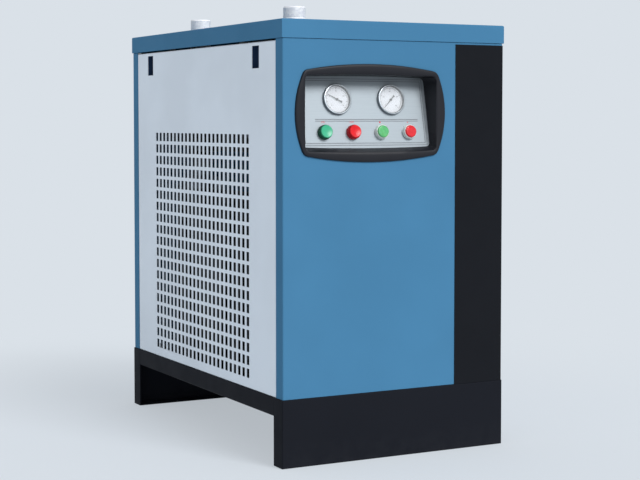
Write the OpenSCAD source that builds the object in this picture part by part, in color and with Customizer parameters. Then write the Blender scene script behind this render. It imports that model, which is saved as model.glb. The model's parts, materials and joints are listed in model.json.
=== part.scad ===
// Refrigerated compressed-air dryer in a free-standing sheet-metal cabinet.
// Millimetres, +Z up, front at -Y. The origin is the centre of the footprint, on the floor.

/* [Cabinet] */
// Width of the base and of the top cover
cab_w = 530; // [500:5:620]
// Depth of the base and of the top cover
cab_d = 820; // [790:5:940]
// Height from the floor to the top cover
cab_h = 900; // [890:5:1000]
// How far the panels stand back from the edge of base and cover
panel_inset = 2; // [1:0.5:3]
// Sheet thickness of the panels and of the cover
panel_t = 1.5; // [1:0.25:2]
// Outside radius of a fold in the sheet
bend_r = 3; // [2.5:0.25:4]
// How far the front and rear panels wrap round the sides
wrap_w = 33; // [30:1:45]
// Gap left between neighbouring panels
seam = 1; // [0.5:0.25:2]
// Gap between the cover and the front and rear panels
front_seam = 0.5; // [0.5:0.25:2]
// Depth of the folded edge of a side panel
side_fold = 17; // [14:1:17]

/* [Base] */
// Height of the base, up to its top flange
base_h = 139; // [125:1:160]
// Sheet thickness of the base
base_t = 3; // [2:0.5:4]
// Length of the feet along the sides
foot_len = 40; // [40:1:60]
// Height of the side rails over the fork channel
rail_h = 38; // [30:1:50]
// Width of the rails' flanges
rail_flange = 32; // [28:1:40]
// Diameter of the anchor holes in the feet
anchor_d = 14; // [9:0.5:18]
// Distance of the anchor holes from the sides of the base
anchor_inset_x = 45; // [30:1:80]
// Distance of the anchor holes from the front and the rear
anchor_inset_y = 22; // [18:1:26]
// Thickness of the floor pan
pan_t = 2; // [1.5:0.25:3]
// Height of the floor pan's side lips
pan_lip = 12; // [8:1:20]

/* [Frame] */
// Distance from the side of the cabinet to the corner posts
post_inset = 23; // [22:0.5:28]
// Leg width of the corner posts
post_w = 38; // [36:1:44]
// Thickness of the corner posts and of the top frame
post_t = 2; // [1.5:0.25:3]
// Height of the top frame's side walls
top_frame_h = 25; // [20:1:30]

/* [Cover] */
// Height of the cover's skirt
cover_h = 38; // [32:1:50]
// Shadow gap between the cover and the side panels
cover_gap = 3.5; // [1:0.5:4]

/* [Front strip] */
// Width of the dark strip on the front
strip_w = 122; // [90:1:130]
// Thickness of the strip
strip_t = 1.2; // [0.8:0.1:1.5]
// Distance of its top below the top of the front panel
strip_drop = 4; // [2:1:12]

/* [Vents] */
// Columns of vent slots in each side panel
vent_cols = 24; // [12:1:26]
// Rows of vent slots
vent_rows = 19; // [10:1:20]
// Width of a slot
vent_w = 13; // [8:0.5:14]
// Height of a slot
vent_h = 19.5; // [12:0.5:21]
// Spacing of the columns
vent_pitch_y = 21.7; // [18:0.1:24]
// Spacing of the rows
vent_pitch_z = 27.2; // [24:0.2:30]
// Height of the lowest row above the base
vent_rise = 31; // [25:0.5:60]
// How far vents and finger pulls sit behind the middle of the side panels
side_shift = 5; // [-10:1:10]

/* [Finger pulls] */
// Width of a finger pull's mouth
pull_w = 33; // [22:1:40]
// Height of a finger pull's mouth
pull_h = 46; // [36:1:60]
// Distance of the pulls from the panel's ends, to their middle
pull_inset = 87; // [60:1:140]
// Distance of the pulls below the panel's top edge
pull_drop = 7.5; // [5:0.5:20]
// Depth of the finger pulls
pull_depth = 13; // [10:1:14]
// Wall of the finger pulls
pull_t = 1.5; // [1:0.25:2]

/* [Console] */
// Distance of the console's middle from the left side
console_x = 205; // [200:1:240]
// Distance of the console's middle below the top
console_drop = 187; // [160:0.5:260]
// Width of the bezel
bezel_w = 352; // [340:2:380]
// Height of the bezel
bezel_h = 200; // [190:2:220]
// How far the bezel stands proud of the front panel
bezel_proud = 5; // [4:0.5:12]
// Radius of its bowed long sides
bow_long = 870; // [700:10:2000]
// Radius of its bowed short sides
bow_short = 190; // [160:5:600]
// Corner radius of the bezel
bezel_corner = 17; // [14:1:30]
// Width of the bezel's opening
opening_w = 308; // [300:2:316]
// Height of the bezel's opening
opening_h = 157; // [150:1:165]
// Corner radius of the opening
opening_corner = 9; // [6:1:12]
// Depth of the instrument plate below the top cover's front plane, at its lower edge
recess_low = 18; // [16:1:30]
// The same depth at the plate's upper edge
recess_high = 50; // [36:1:60]
// How far the recess narrows down to the plate, on each side
recess_draft = 2; // [0.5:0.5:4]
// How far the recess's floor rises to the plate, beyond that
floor_rise = 5; // [0:0.5:8]
// Wall of the recess
recess_t = 2.5; // [2:0.25:3]
// Thickness of the instrument plate
plate_t = 2; // [1:0.25:3]

/* [Gauges] */
// Outer diameter of the gauges' rings
gauge_d = 64; // [54:1:68]
// Distance between the two gauges
gauge_pitch = 127.7; // [100:0.1:140]
// How far gauges and controls sit right of the console's middle
controls_shift = 3; // [0:0.5:6]
// Height of the gauges above the plate's middle
gauge_up = 28.5; // [24:0.5:32]
// Depth of the gauges' cases behind the plate
gauge_case = 32; // [24:1:42]
// Height of the gauges' rings
gauge_ring = 7; // [6:0.5:9]
// Angle of the left needle from upright, clockwise
needle_left = -63; // [-135:1:135]
// Angle of the right needle from upright, clockwise
needle_right = -135; // [-135:1:135]

/* [Controls] */
// Spacing of the four controls
control_pitch = 66.6; // [50:0.1:70]
// Height of the controls, below the plate's middle
control_down = 40; // [36:0.5:46]
// Diameter of the mounting holes
control_hole = 22.3; // [22:0.1:26]
// Diameter of the controls' collars
collar_d = 30; // [28:0.5:34]
// Height of the collars
collar_h = 10; // [7:0.5:12]
// Height of the button caps above the collars
cap_up = 4; // [4:0.5:8]
// Travel of the buttons
travel = 4; // [2:0.5:4]

/* [Air pipes] */
// Outer diameter of the pipe stubs
pipe_d = 48.3; // [33.7:0.1:60.3]
// Wall of the pipes
pipe_t = 3.2; // [2.6:0.1:4]
// Height of the stubs above the cover
pipe_up = 42; // [30:1:80]
// Diameter of the male thread at the top of the stubs
thread_d = 47.8; // [33.2:0.1:59.8]
// Length of that thread
thread_len = 25; // [18:1:28]
// Distance of both pipes from the left side
pipe_x = 145; // [140:1:160]
// Distance of the inlet pipe from the front
inlet_y = 231; // [225:1:300]
// Distance of the outlet pipe from the rear
outlet_y = 87; // [85:1:160]

/* [Heat exchanger] */
// Outer diameter of the insulated vessel
vessel_d = 190; // [160:2:200]
// Distance of its middle below the top of the cabinet
vessel_drop = 180; // [165:1:200]
// Distance of its front end ahead of the inlet pipe
vessel_front = 63; // [55:1:70]
// Distance of its rear end behind the outlet pipe
vessel_rear = 58; // [55:1:75]
// Diameter of the water separator
separator_d = 114; // [90:1:130]
// Length of the water separator
separator_h = 290; // [200:5:300]

/* [Refrigeration] */
// Diameter of the compressor's shell
comp_d = 180; // [140:2:190]
// Height of the compressor's shell
comp_h = 290; // [220:5:320]
// Distance of the compressor from the right side
comp_x = 135; // [130:1:150]
// Distance of the compressor from the rear
comp_y = 260; // [250:1:280]
// Width of the condenser, front to rear
cond_w = 440; // [400:5:450]
// Number of tubes in the condenser
cond_tubes = 12; // [8:2:12]
// Spacing of its tubes
cond_pitch = 33; // [28:1:34]
// Thickness of the condenser
cond_t = 44; // [36:1:50]
// Number of cooling fins
fins = 32; // [16:1:40]
// Thickness of a fin
fin_t = 1; // [0.5:0.1:1.5]
// Diameter of the condenser tubes
tube_d = 10; // [8:0.5:12]
// Diameter of the fan
fan_d = 344; // [300:2:350]
// Number of fan blades
blades = 5; // [3:1:7]
// Diameter of the discharge and liquid lines
line_d = 12.7; // [9.5:0.1:13]
// Diameter of the insulated suction line
suction_d = 24; // [18:1:28]
// Distance of the suction port ahead of the outlet pipe
suction_ahead = 123; // [110:1:140]

/* [Electrics] */
// Width of the control box, front to rear
box_w = 170; // [150:2:190]
// Height of the control box
box_h = 300; // [240:5:340]
// Depth of the control box
box_depth = 90; // [80:1:95]
// Distance of the cable gland from the right side
gland_inset = 110; // [90:1:130]

/* [Hidden] */
$fn = 48;

half_w = cab_w / 2;
half_d = cab_d / 2;
// Overlap that lets a cut run past a face
past = 1;

// Levels
panel_bottom = base_h;
cover_bottom = cab_h - cover_h;
panel_top = cover_bottom - cover_gap;
panel_h = panel_top - panel_bottom;
front_top = cover_bottom - front_seam;
pan_top = base_h + pan_t;
frame_top = cab_h - panel_t;
frame_bottom = frame_top - top_frame_h;

// Planes of the panels' outer faces and of the frame behind them
front_y = panel_inset - half_d;
side_x = half_w - panel_inset;
post_y = -front_y - panel_t;
post_x = half_w - post_inset;
side_len = cab_d - 2 * wrap_w - 2 * seam;

// Screws of the rear panel
screw_zs = [panel_bottom + 45, (panel_bottom + front_top) / 2, front_top - 45];
screw_x = post_x - post_w / 2;
screw_r = 2.5;

// Console frame: the plate leans back by plate_tilt
console_cx = console_x - half_w;
console_z = cab_h - console_drop;
plate_tilt = atan((recess_high - recess_low) / opening_h);
plate_y = (recess_low + recess_high) / 2 - half_d;
plate_rise = floor_rise / 2;

// Fine grooves in the plate: two round its border and two between gauges and controls
groove_w = 1;
groove_deep = 0.4;
border_insets = [6, 10.5];
divider_ups = [-13, -16.5];
divider_len = 243;
divider_x = 7;

// Gauge inside sizes
ring_lip = 3;
dial_r = gauge_d / 2 - ring_lip;
case_r = gauge_d / 2 - 2;
gauge_hole_r = case_r + 0.3;
case_wall = 1.5;
dial_t = 1;
lens_t = 1.5;
needle_t = 0.8;
spindle_r = 1.5;
running_gap = 0.05;
lens_z = gauge_ring - lens_t - 1;
needle_z = lens_z - needle_t - 1;

// Controls
control_r = control_hole / 2;
neck_r = control_r - 0.15;
neck_len = 20;
cap_r = collar_d / 2 - 1.8;
cap_gap = 0.3;
cap_dish = 1;
dish_r = (pow(cap_r - 2, 2) + cap_dish * cap_dish) / (2 * cap_dish);
stem_r = 6;
button_floor = 4;
cap_t = collar_h + cap_up - button_floor - travel - 0.5;
block_w = 29;
block_h = 40;
block_len = 42;
lamp_r = collar_d / 2 - 2.4;

// Air side
pipe_cx = pipe_x - half_w;
inlet_cy = inlet_y - half_d;
outlet_cy = half_d - outlet_y;
vessel_z = cab_h - vessel_drop;
vessel_r = vessel_d / 2;
vessel_y0 = inlet_cy - vessel_front;
vessel_y1 = outlet_cy + vessel_rear;
nozzle_t = 6;
nozzle_up = 15;
socket_depth = 20;
separator_neck = 60;
separator_top = vessel_z - vessel_r - separator_neck;
separator_bottom = separator_top - separator_h;
hanger_t = 3;
hanger_w = 30;
hanger_ys = [inlet_cy + 55, outlet_cy - 55];

// Drain and the openings in the rear panel
drain_z = separator_bottom - 12;
drain_block = 30;
drain_line_r = 4;
outlet_z = drain_z - drain_block / 2;
spigot_r = 5;
spigot_len = 22;
gland_x = half_w - gland_inset;
gland_z = pan_top + 60;
gland_r = 10;
// Openings in the rear panel: x, height and radius
rear_ports = [[pipe_cx, outlet_z, 8], [gland_x, gland_z, gland_r]];

// Condenser and fan
cond_face = -side_x + side_fold + 20;
cond_x = cond_face + cond_t / 2;
cond_h = cond_pitch * cond_tubes;
cond_low = pan_top + cond_pitch / 2;
cond_z = pan_top + cond_h / 2;
cond_back = cond_face + cond_t;
tube_r = tube_d / 2;
tube_out = 12;
shroud_t = 1.5;
shroud_depth = 35;
fan_r = fan_d / 2;
ring_r = fan_r + 6;
ring_len = 16;
hub_r = 45;
hub_len = 34;
fan_x = cond_back + shroud_depth - 8;
shaft_r = 6;
motor_r = 50;
motor_len = 72;
motor_x = fan_x + hub_len / 2 + 8;
wire_r = 2;
guard_rings = 5;
spoke_back = 1.5;
guard_x = cond_back + shroud_depth + ring_len + spoke_back + wire_r - 0.2;

// Compressor and its ports
comp_cx = half_w - comp_x;
comp_cy = half_d - comp_y;
comp_r = comp_d / 2;
comp_low = pan_top + 28;
comp_top = comp_low + comp_h;
mount_pitch = comp_d * 0.95;
grommet_r = 14;
foot_t = 4;
line_r = line_d / 2;
line_bend = 24;
port_len = 14;
vessel_port_len = 40;

// Refrigerant line routes, from port to port
discharge_z = comp_low + comp_h * 0.6;
cond_port_y = -cond_w / 2 - tube_out;
front_run_y = min(vessel_y0 - 27, cond_port_y - line_bend - 1);
discharge_run_y = front_run_y - line_d - 4;
high_run_z = cond_low + cond_h + 22;
cond_in_z = cond_low + cond_pitch * (cond_tubes - 1);
drier_len = 120;
drier_r = 14;
drier_x = pipe_cx + 60;
liquid_x = drier_x + drier_len + 30;
vessel_port_x = pipe_cx + 35;
vessel_port_z = vessel_z - 40;
suction_y = outlet_cy - suction_ahead;
suction_x = comp_cx + 30;
suction_bend = 36;

function unit(v) = v / norm(v);
function mix(a, b, s) = a + (b - a) * s;
// Depth plane of the instrument plate at height z
function plate_plane(z) = plate_y + (z - console_z) * tan(plate_tilt);

// ---- shared shapes ----

// Rectangle from x = -w/2 and y = 0, with its two lower corners rounded
module lip_profile(w, d, r) {
    corner = r + past;
    difference() {
        translate([-w / 2, 0]) square([w, d]);
        for (side = [-1, 1]) difference() {
            translate([side * (w / 2 - r + corner / 2), r - corner / 2]) square(corner, center = true);
            translate([side * (w / 2 - r), r]) circle(r);
        }
    }
}

// Block with all the edges of its -Y face rounded
module fold_block(w, d, h, r) {
    intersection() {
        linear_extrude(h) lip_profile(w, d, r);
        translate([-w / 2, 0, h / 2]) rotate([90, 0, 90])
            linear_extrude(w) rotate(-90) lip_profile(h, d, r);
    }
}

// Inside radius of a fold in sheet of thickness t
function inner_bend(r, t) = max(r - t, 0.5);

// Five-sided folded pan that opens towards +Y
module pan(w, d, h, t, r) {
    difference() {
        fold_block(w, d, h, r);
        translate([0, t, t]) fold_block(w - 2 * t, d, h - 2 * t, inner_bend(r, t));
    }
}

// Sheet folded to a U in plan, its front face at y = 0, opening towards +Y
module u_sheet(w, d, h, t, r) {
    linear_extrude(h) difference() {
        lip_profile(w, d, r);
        translate([0, t]) lip_profile(w - 2 * t, d, inner_bend(r, t));
    }
}

// Places children on the instrument plate with +Z out of the plate and +Y up it
module on_plate(x = 0, up = 0) {
    translate([console_cx, plate_y, console_z]) rotate([-plate_tilt, 0, 0])
        translate([x, 0, up]) rotate([90, 0, 0]) children();
}

// Solid of revolution with both ends domed, along +Z from 0 to len
module domed(r, len, dome) {
    rotate_extrude() difference() {
        square([r, len]);
        for (end = [0, 1]) translate([r - dome, end * len]) mirror([0, end]) difference() {
            translate([0, -past]) square([dome + past, dome + past]);
            translate([0, dome]) circle(dome);
            translate([-past, dome]) square([dome + past, past * 2]);
        }
    }
}

// Round bar between two points
module bar(a, b, r) {
    d = b - a;
    translate(a) rotate([0, acos(d.z / norm(d)), atan2(d.y, d.x)]) cylinder(h = norm(d), r = r);
}

// Quarter bend at p, from direction u into direction v
module elbow(p, u, v, r, bend) {
    n = cross(u, v);
    c = p - u * bend + v * bend;
    multmatrix([
        [-v.x, u.x, n.x, c.x],
        [-v.y, u.y, n.y, c.y],
        [-v.z, u.z, n.z, c.z],
        [0, 0, 0, 1]
    ]) rotate_extrude(angle = 90) translate([bend, 0]) circle(r);
}

// Tube along square turns, with a bend at every inner point
module tube_run(pts, r, bend) {
    last = len(pts) - 1;
    for (i = [0 : last - 1]) {
        d = unit(pts[i + 1] - pts[i]);
        from = pts[i] + d * (i == 0 ? 0 : bend);
        to = pts[i + 1] - d * (i == last - 1 ? 0 : bend);
        bar(from, to, r);
    }
    for (i = [1 : last - 1])
        elbow(pts[i], unit(pts[i] - pts[i - 1]), unit(pts[i + 1] - pts[i]), r, bend);
}

// ---- base and frame ----

module skirt() {
    difference() {
        translate([0, -half_d, 0]) pan(cab_w, foot_len, base_h, base_t, bend_r);
        for (side = [-1, 1])
            translate([side * (half_w - anchor_inset_x), anchor_inset_y - half_d, -past])
                cylinder(h = base_t + 2 * past, d = anchor_d);
    }
}

module base_front_skirt() {
    color("#26292e") skirt();
}

module base_rear_skirt() {
    color("#26292e") rotate([0, 0, 180]) skirt();
}

module base_side_rails() {
    rail_len = cab_d - 2 * foot_len;
    color("#26292e") for (turn = [0, 180])
        rotate([0, 0, turn]) translate([-half_w, rail_len / 2, base_h - rail_h / 2]) rotate([90, 0, 0])
            linear_extrude(rail_len) rotate(-90) difference() {
                lip_profile(rail_h, rail_flange, bend_r);
                translate([0, base_t])
                    lip_profile(rail_h - 2 * base_t, rail_flange, inner_bend(bend_r, base_t));
            }
}

module floor_pan() {
    pan_w = cab_w - 2 * (post_inset - pan_t - seam);
    color("#3a3e44") translate([0, post_y, base_h]) rotate([90, 0, 0])
        u_sheet(pan_w, pan_lip, 2 * post_y, pan_t, bend_r);
}

module corner_posts() {
    color("#3f6f92") difference() {
        for (sx = [-1, 1]) for (sy = [-1, 1])
            translate([sx * post_x, sy * post_y, pan_top])
                mirror([sx > 0 ? 1 : 0, 0]) mirror([0, sy > 0 ? 1 : 0])
                    linear_extrude(frame_bottom - pan_top) difference() {
                        square(post_w);
                        translate([post_t, post_t]) square(post_w);
                    }
        for (side = [-1, 1]) for (z = screw_zs)
            translate([side * screw_x, post_y + past, z]) rotate([90, 0, 0])
                cylinder(h = post_t + 2 * past, r = screw_r);
        console_cut();
    }
}

module top_frame() {
    color("#3f6f92") translate([0, 0, frame_bottom]) difference() {
        translate([-post_x, -post_y, 0]) cube([2 * post_x, 2 * post_y, top_frame_h]);
        translate([post_t - post_x, post_t - post_y, -past])
            cube([2 * (post_x - post_t), 2 * (post_y - post_t), top_frame_h - post_t + past]);
        translate([post_w - post_x, post_w - post_y, -past])
            cube([2 * (post_x - post_w), 2 * (post_y - post_w), top_frame_h + 2 * past]);
    }
}

// ---- cabinet skin ----

module top_cover() {
    hole_r = pipe_d / 2 + 4;
    color("#2f6387") difference() {
        translate([0, half_d, cab_h]) rotate([-90, 0, 180]) pan(cab_w, cover_h, cab_d, panel_t, bend_r);
        for (y = [inlet_cy, outlet_cy])
            translate([pipe_cx, y, cab_h - 2 * panel_t]) cylinder(h = 3 * panel_t, r = hole_r);
    }
}

module wrapped_panel(top) {
    translate([0, front_y, panel_bottom])
        u_sheet(2 * side_x, wrap_w - panel_inset, top - panel_bottom, panel_t, bend_r);
}

// Clears the console's recess out of the sheets behind its bezel
module console_cut() {
    cut_w = opening_w + 2 * recess_t + 2;
    cut_h = opening_h + 2 * recess_t + 2;
    translate([console_cx - cut_w / 2, front_y - past, console_z - cut_h / 2])
        cube([cut_w, panel_t + post_t + 2 * past, cut_h]);
}

module front_panel() {
    color("#5086aa") difference() {
        wrapped_panel(front_top);
        console_cut();
    }
}

module front_strip() {
    strip_top = front_top - strip_drop;
    color("#202226") translate([0, front_y - strip_t, panel_bottom])
        linear_extrude(strip_top - panel_bottom) intersection() {
            difference() {
                lip_profile(2 * (side_x + strip_t), wrap_w - panel_inset + strip_t, bend_r + strip_t);
                translate([0, strip_t]) lip_profile(2 * side_x, wrap_w + past, bend_r);
            }
            translate([half_w - strip_w, -past]) square([strip_w + past, wrap_w + 2 * past]);
        }
}

module rear_panel() {
    color("#5086aa") rotate([0, 0, 180]) difference() {
        wrapped_panel(front_top);
        for (side = [-1, 1]) for (z = screw_zs)
            translate([side * screw_x, front_y - past, z]) rotate([-90, 0, 0])
                cylinder(h = panel_t + 2 * past, r = screw_r + 0.3);
        for (p = rear_ports)
            translate([-p.x, front_y - past, p.y]) rotate([-90, 0, 0])
                cylinder(h = panel_t + 2 * past, r = p.z + 0.25);
    }
}

// Panel screws that hold the rear panel to the posts
module cabinet_screws() {
    head_r = 5;
    head_h = 2.8;
    shank = panel_t + post_t + 6;
    color("#b8bcc0") for (side = [-1, 1]) for (z = screw_zs)
        translate([side * screw_x, -front_y, z]) rotate([90, 0, 0]) {
            translate([0, 0, -head_h]) difference() {
                domed_head(head_r, head_h);
                for (a = [0, 90]) rotate(a)
                    translate([-0.6, -2.5, -past]) cube([1.2, 5, past + 1.4]);
            }
            cylinder(h = shank, r = screw_r);
        }
}

// Low domed head that stands on z = h
module domed_head(r, h) {
    dome_r = (r * r + h * h) / (2 * h);
    intersection() {
        cylinder(h = h, r = r);
        translate([0, 0, dome_r]) sphere(dome_r);
    }
}

// Middle of a finger pull, front (-1) or rear (1)
function pull_y(side) = side * (side_len / 2 - pull_inset) + side_shift;

module side_panel() {
    vent_y0 = side_shift - (vent_cols - 1) * vent_pitch_y / 2;
    vent_z0 = base_h + vent_rise;
    difference() {
        translate([-side_x, 0, panel_bottom]) rotate([0, 0, -90])
            pan(side_len, side_fold, panel_h, panel_t, bend_r);
        for (i = [0 : vent_cols - 1]) for (k = [0 : vent_rows - 1])
            translate([-side_x - past, vent_y0 + i * vent_pitch_y - vent_w / 2,
                       vent_z0 + k * vent_pitch_z - vent_h / 2])
                cube([panel_t + 2 * past, vent_w, vent_h]);
        for (side = [-1, 1])
            translate([-side_x - past, pull_y(side) - pull_w / 2, panel_top - pull_drop - pull_h])
                cube([panel_t + 2 * past, pull_w, pull_h]);
    }
}

module left_side_panel() {
    color("#bac6d2") side_panel();
}

module right_side_panel() {
    color("#bac6d2") mirror([1, 0, 0]) side_panel();
}

// Moulded finger cups, clipped behind the openings of a side panel
module pulls() {
    flange = 4;
    for (side = [-1, 1])
        translate([panel_t - side_x, pull_y(side), panel_top - pull_drop - pull_h / 2])
            rotate([0, 90, 0]) difference() {
                union() {
                    translate([-pull_h / 2 - flange, -pull_w / 2 - flange, 0])
                        cube([pull_h + 2 * flange, pull_w + 2 * flange, pull_t]);
                    translate([-pull_h / 2 - pull_t, -pull_w / 2 - pull_t, 0])
                        cube([pull_h + 2 * pull_t, pull_w + 2 * pull_t, pull_depth]);
                }
                translate([-pull_h / 2, -pull_w / 2, -past])
                    cube([pull_h, pull_w, pull_depth - pull_t + past]);
            }
}

module left_panel_pulls() {
    color("#16191d") pulls();
}

module right_panel_pulls() {
    color("#16191d") mirror([1, 0, 0]) pulls();
}

// Foam strips on the corner posts that the folded edges of the side panels close against
module panel_seals() {
    seal_t = side_x - side_fold - post_x;
    seal_w = 12;
    seal_z = pan_top + pan_lip;
    edge = side_len / 2 - panel_t / 2;
    color("#202327") for (sx = [-1, 1]) for (sy = [-1, 1])
        translate([sx * (post_x + seal_t / 2), sy * edge, (seal_z + panel_top) / 2])
            cube([seal_t, seal_w, panel_top - seal_z], center = true);
}

// ---- console ----

arc_pts = 8;
side_pts = 8;

// Centre of the corner arc between the bowed top and the bowed side
function corner_centre(a, b, long_r, short_r, r) =
    let (p0 = [0, b - long_r], p1 = [a - short_r, 0])
    let (r0 = long_r - r, r1 = short_r - r, d = norm(p1 - p0))
    let (along = (r0 * r0 - r1 * r1 + d * d) / (2 * d), off = sqrt(r0 * r0 - along * along))
    let (e = (p1 - p0) / d)
    p0 + e * along + [e.y, -e.x] * off;

// One quarter of a barrel outline, from the middle of the right side to the middle of the top
function barrel_quarter(a, b, long_r, short_r, r) =
    let (c = corner_centre(a, b, long_r, short_r, r))
    let (side_end = atan2(c.y, c.x - (a - short_r)))
    let (top_start = atan2(c.y - (b - long_r), c.x))
    concat(
        [for (i = [0 : side_pts - 1]) [a - short_r, 0] + short_r * arc_dir(side_end * i / side_pts)],
        [for (i = [0 : arc_pts - 1]) c + r * arc_dir(mix(side_end, top_start, i / arc_pts))],
        [for (i = [0 : side_pts - 1])
            [0, b - long_r] + long_r * arc_dir(mix(top_start, 90, i / side_pts))]
    );

function arc_dir(a) = [cos(a), sin(a)];

// The whole outline, counter-clockwise
function barrel(a, b, long_r, short_r, r) =
    let (q = barrel_quarter(a, b, long_r, short_r, r), n = len(q))
    concat(
        q,
        [[0, b]], [for (i = [n - 1 : -1 : 1]) [-q[i].x, q[i].y]],
        [for (i = [0 : n - 1]) [-q[i].x, -q[i].y]],
        [[0, -b]], [for (i = [n - 1 : -1 : 1]) [q[i].x, -q[i].y]]
    );

straight = 4000;
outer_line = barrel(bezel_w / 2, bezel_h / 2, bow_long, bow_short, bezel_corner);
inner_line = barrel(opening_w / 2, opening_h / 2, straight, straight, opening_corner);
back_line = barrel(
    opening_w / 2 + recess_t, opening_h / 2 + recess_t, straight, straight, opening_corner + recess_t);

// Bezel section: share of the way from the outer edge to the opening, and height over the panel
rim_steps = [[0, 0], [0, 0.35], [0.03, 0.68], [0.1, 0.9], [0.24, 1], [0.7, 0.97], [0.88, 0.86], [1, 0.5]];

function rim_ring(step) =
    [for (i = [0 : len(outer_line) - 1])
        let (p = mix(outer_line[i], inner_line[i], step[0]))
        [console_cx + p.x, front_y - bezel_proud * step[1], console_z + p.y]];
function flat_ring(line, y) = [for (p = line) [console_cx + p.x, y, console_z + p.y]];
// Outline of the recess where it meets the plate, grown outward
function deep_ring(grow, r) =
    [for (p = barrel(opening_w / 2 + grow, opening_h / 2 - plate_rise + grow, straight, straight, r))
        let (z = console_z + plate_rise + p.y)
        [console_cx + p.x, plate_plane(z), z]];

bezel_rings = concat(
    [for (s = rim_steps) rim_ring(s)],
    [deep_ring(-recess_draft, opening_corner)],
    [deep_ring(recess_t - recess_draft, opening_corner + recess_t - recess_draft)],
    [flat_ring(back_line, front_y + panel_t)],
    [flat_ring(back_line, front_y)]
);

// Closed ring of section: every ring of points joins the next one, and the last joins the first
module ring_loft(rings) {
    m = len(rings);
    n = len(rings[0]);
    polyhedron(
        points = [for (r = rings) for (p = r) p],
        faces = [for (k = [0 : m - 1]) for (i = [0 : n - 1])
            let (k2 = (k + 1) % m, j = (i + 1) % n)
            each [[k * n + i, k2 * n + j, k * n + j], [k * n + i, k2 * n + i, k2 * n + j]]]
    );
}

module console_bezel() {
    color("#2a2c31") ring_loft(bezel_rings);
}

control_xs = [for (i = [-1.5 : 1 : 1.5]) controls_shift + i * control_pitch];
gauge_xs = [for (side = [-1, 1]) controls_shift + side * gauge_pitch / 2];

module groove(x, up, w, h) {
    translate([x - w / 2, up - h / 2, -groove_deep]) cube([w, h, groove_deep + past]);
}

module console_plate() {
    w = opening_w - 2 * recess_draft;
    h = (opening_h - 2 * recess_draft - floor_rise) / cos(plate_tilt);
    middle = plate_rise / cos(plate_tilt);
    color("#bccad6") on_plate() difference() {
        translate([-w / 2 - recess_t, middle - h / 2 - recess_t, -plate_t])
            cube([w + 2 * recess_t, h + 2 * recess_t, plate_t]);
        for (in = border_insets) for (side = [-1, 1]) {
            groove(side * (w / 2 - in), middle, groove_w, h - 2 * in + groove_w);
            groove(0, middle + side * (h / 2 - in), w - 2 * in + groove_w, groove_w);
        }
        for (up = divider_ups) groove(divider_x, up, divider_len, groove_w);
        for (x = gauge_xs) translate([x, gauge_up, -plate_t - past])
            cylinder(h = plate_t + 2 * past, r = gauge_hole_r);
        for (x = control_xs) translate([x, -control_down, -plate_t - past])
            cylinder(h = plate_t + 2 * past, r = control_r);
    }
}

// Gauge housing with its rolled ring, the seat of the dial and the seat of the lens
module gauge_case_at(x) {
    back = -plate_t - gauge_case;
    roll = 1.5;
    color("#c8ccd0") on_plate(x, gauge_up) rotate_extrude() difference() {
        union() {
            translate([0, back]) square([case_r, -back]);
            square([gauge_d / 2, gauge_ring - roll]);
            translate([0, gauge_ring - roll]) square([gauge_d / 2 - roll, roll]);
            translate([gauge_d / 2 - roll, gauge_ring - roll]) circle(roll);
        }
        translate([-past, back + case_wall]) square([dial_r - 2 + past, -back]);
        translate([-past, 0]) square([dial_r + past, gauge_ring + past]);
        translate([-past, lens_z]) square([dial_r + 1 + past, lens_t]);
    }
}

module left_gauge_case() {
    gauge_case_at(gauge_xs[0]);
}

module right_gauge_case() {
    gauge_case_at(gauge_xs[1]);
}

module gauge_dials() {
    color("#f4f5f7") for (x = gauge_xs) on_plate(x, gauge_up) difference() {
        cylinder(h = dial_t, r = dial_r);
        translate([0, 0, -past]) cylinder(h = dial_t + 2 * past, r = spindle_r + running_gap);
    }
}

// Needle with its hub, spindle and counterweight, turned clockwise from upright
module needle_at(x, angle) {
    tip = dial_r * 0.82;
    hub_low = dial_t + 0.3;
    color("#1b1b1d") on_plate(x, gauge_up) rotate(-angle) {
        translate([0, 0, hub_low]) cylinder(h = needle_z + needle_t - hub_low, r = 2.6);
        translate([0, 0, -3]) cylinder(h = hub_low + 3 + needle_t, r = spindle_r);
        translate([0, 0, needle_z]) linear_extrude(needle_t)
            polygon([
                [-1.1, 0], [-0.35, tip], [0.35, tip], [1.1, 0],
                [0.9, -7], [2.2, -12], [-2.2, -12], [-0.9, -7]
            ]);
    }
}

module left_gauge_needle() {
    needle_at(gauge_xs[0], needle_left);
}

module right_gauge_needle() {
    needle_at(gauge_xs[1], needle_right);
}

module gauge_lenses() {
    color("#dfe8ee", 0.35) for (x = gauge_xs) on_plate(x, gauge_up) translate([0, 0, lens_z])
        cylinder(h = lens_t, r = dial_r + 0.9);
}

// Collar of a push-button, with its threaded neck through the plate
module button_collar(x, tint) {
    color(tint) on_plate(x, -control_down) difference() {
        union() {
            cylinder(h = 3, r = collar_d / 2);
            translate([0, 0, 3]) cylinder(h = collar_h - 3, r1 = collar_d / 2, r2 = collar_d / 2 - 0.6);
            translate([0, 0, -neck_len]) cylinder(h = neck_len + past, r = neck_r);
        }
        translate([0, 0, button_floor]) cylinder(h = collar_h, r = cap_r + cap_gap);
        translate([0, 0, -neck_len - past])
            cylinder(h = neck_len + 2 * past + button_floor, r = stem_r + running_gap);
    }
}

// Cap and stem of a push-button; it slides into the plate
module button_cap(x, tint) {
    top = collar_h + cap_up;
    color(tint) on_plate(x, -control_down) {
        translate([0, 0, top - cap_t]) difference() {
            cylinder(h = cap_t, r = cap_r);
            translate([0, 0, cap_t]) rotate_extrude() translate([cap_r, 0]) rotate(45)
                square(1.6, center = true);
            translate([0, 0, cap_t + dish_r - cap_dish]) sphere(dish_r, $fn = 96);
        }
        translate([0, 0, -neck_len - 2]) cylinder(h = top - cap_t + neck_len + 2 + 0.5, r = stem_r);
    }
}

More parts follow.
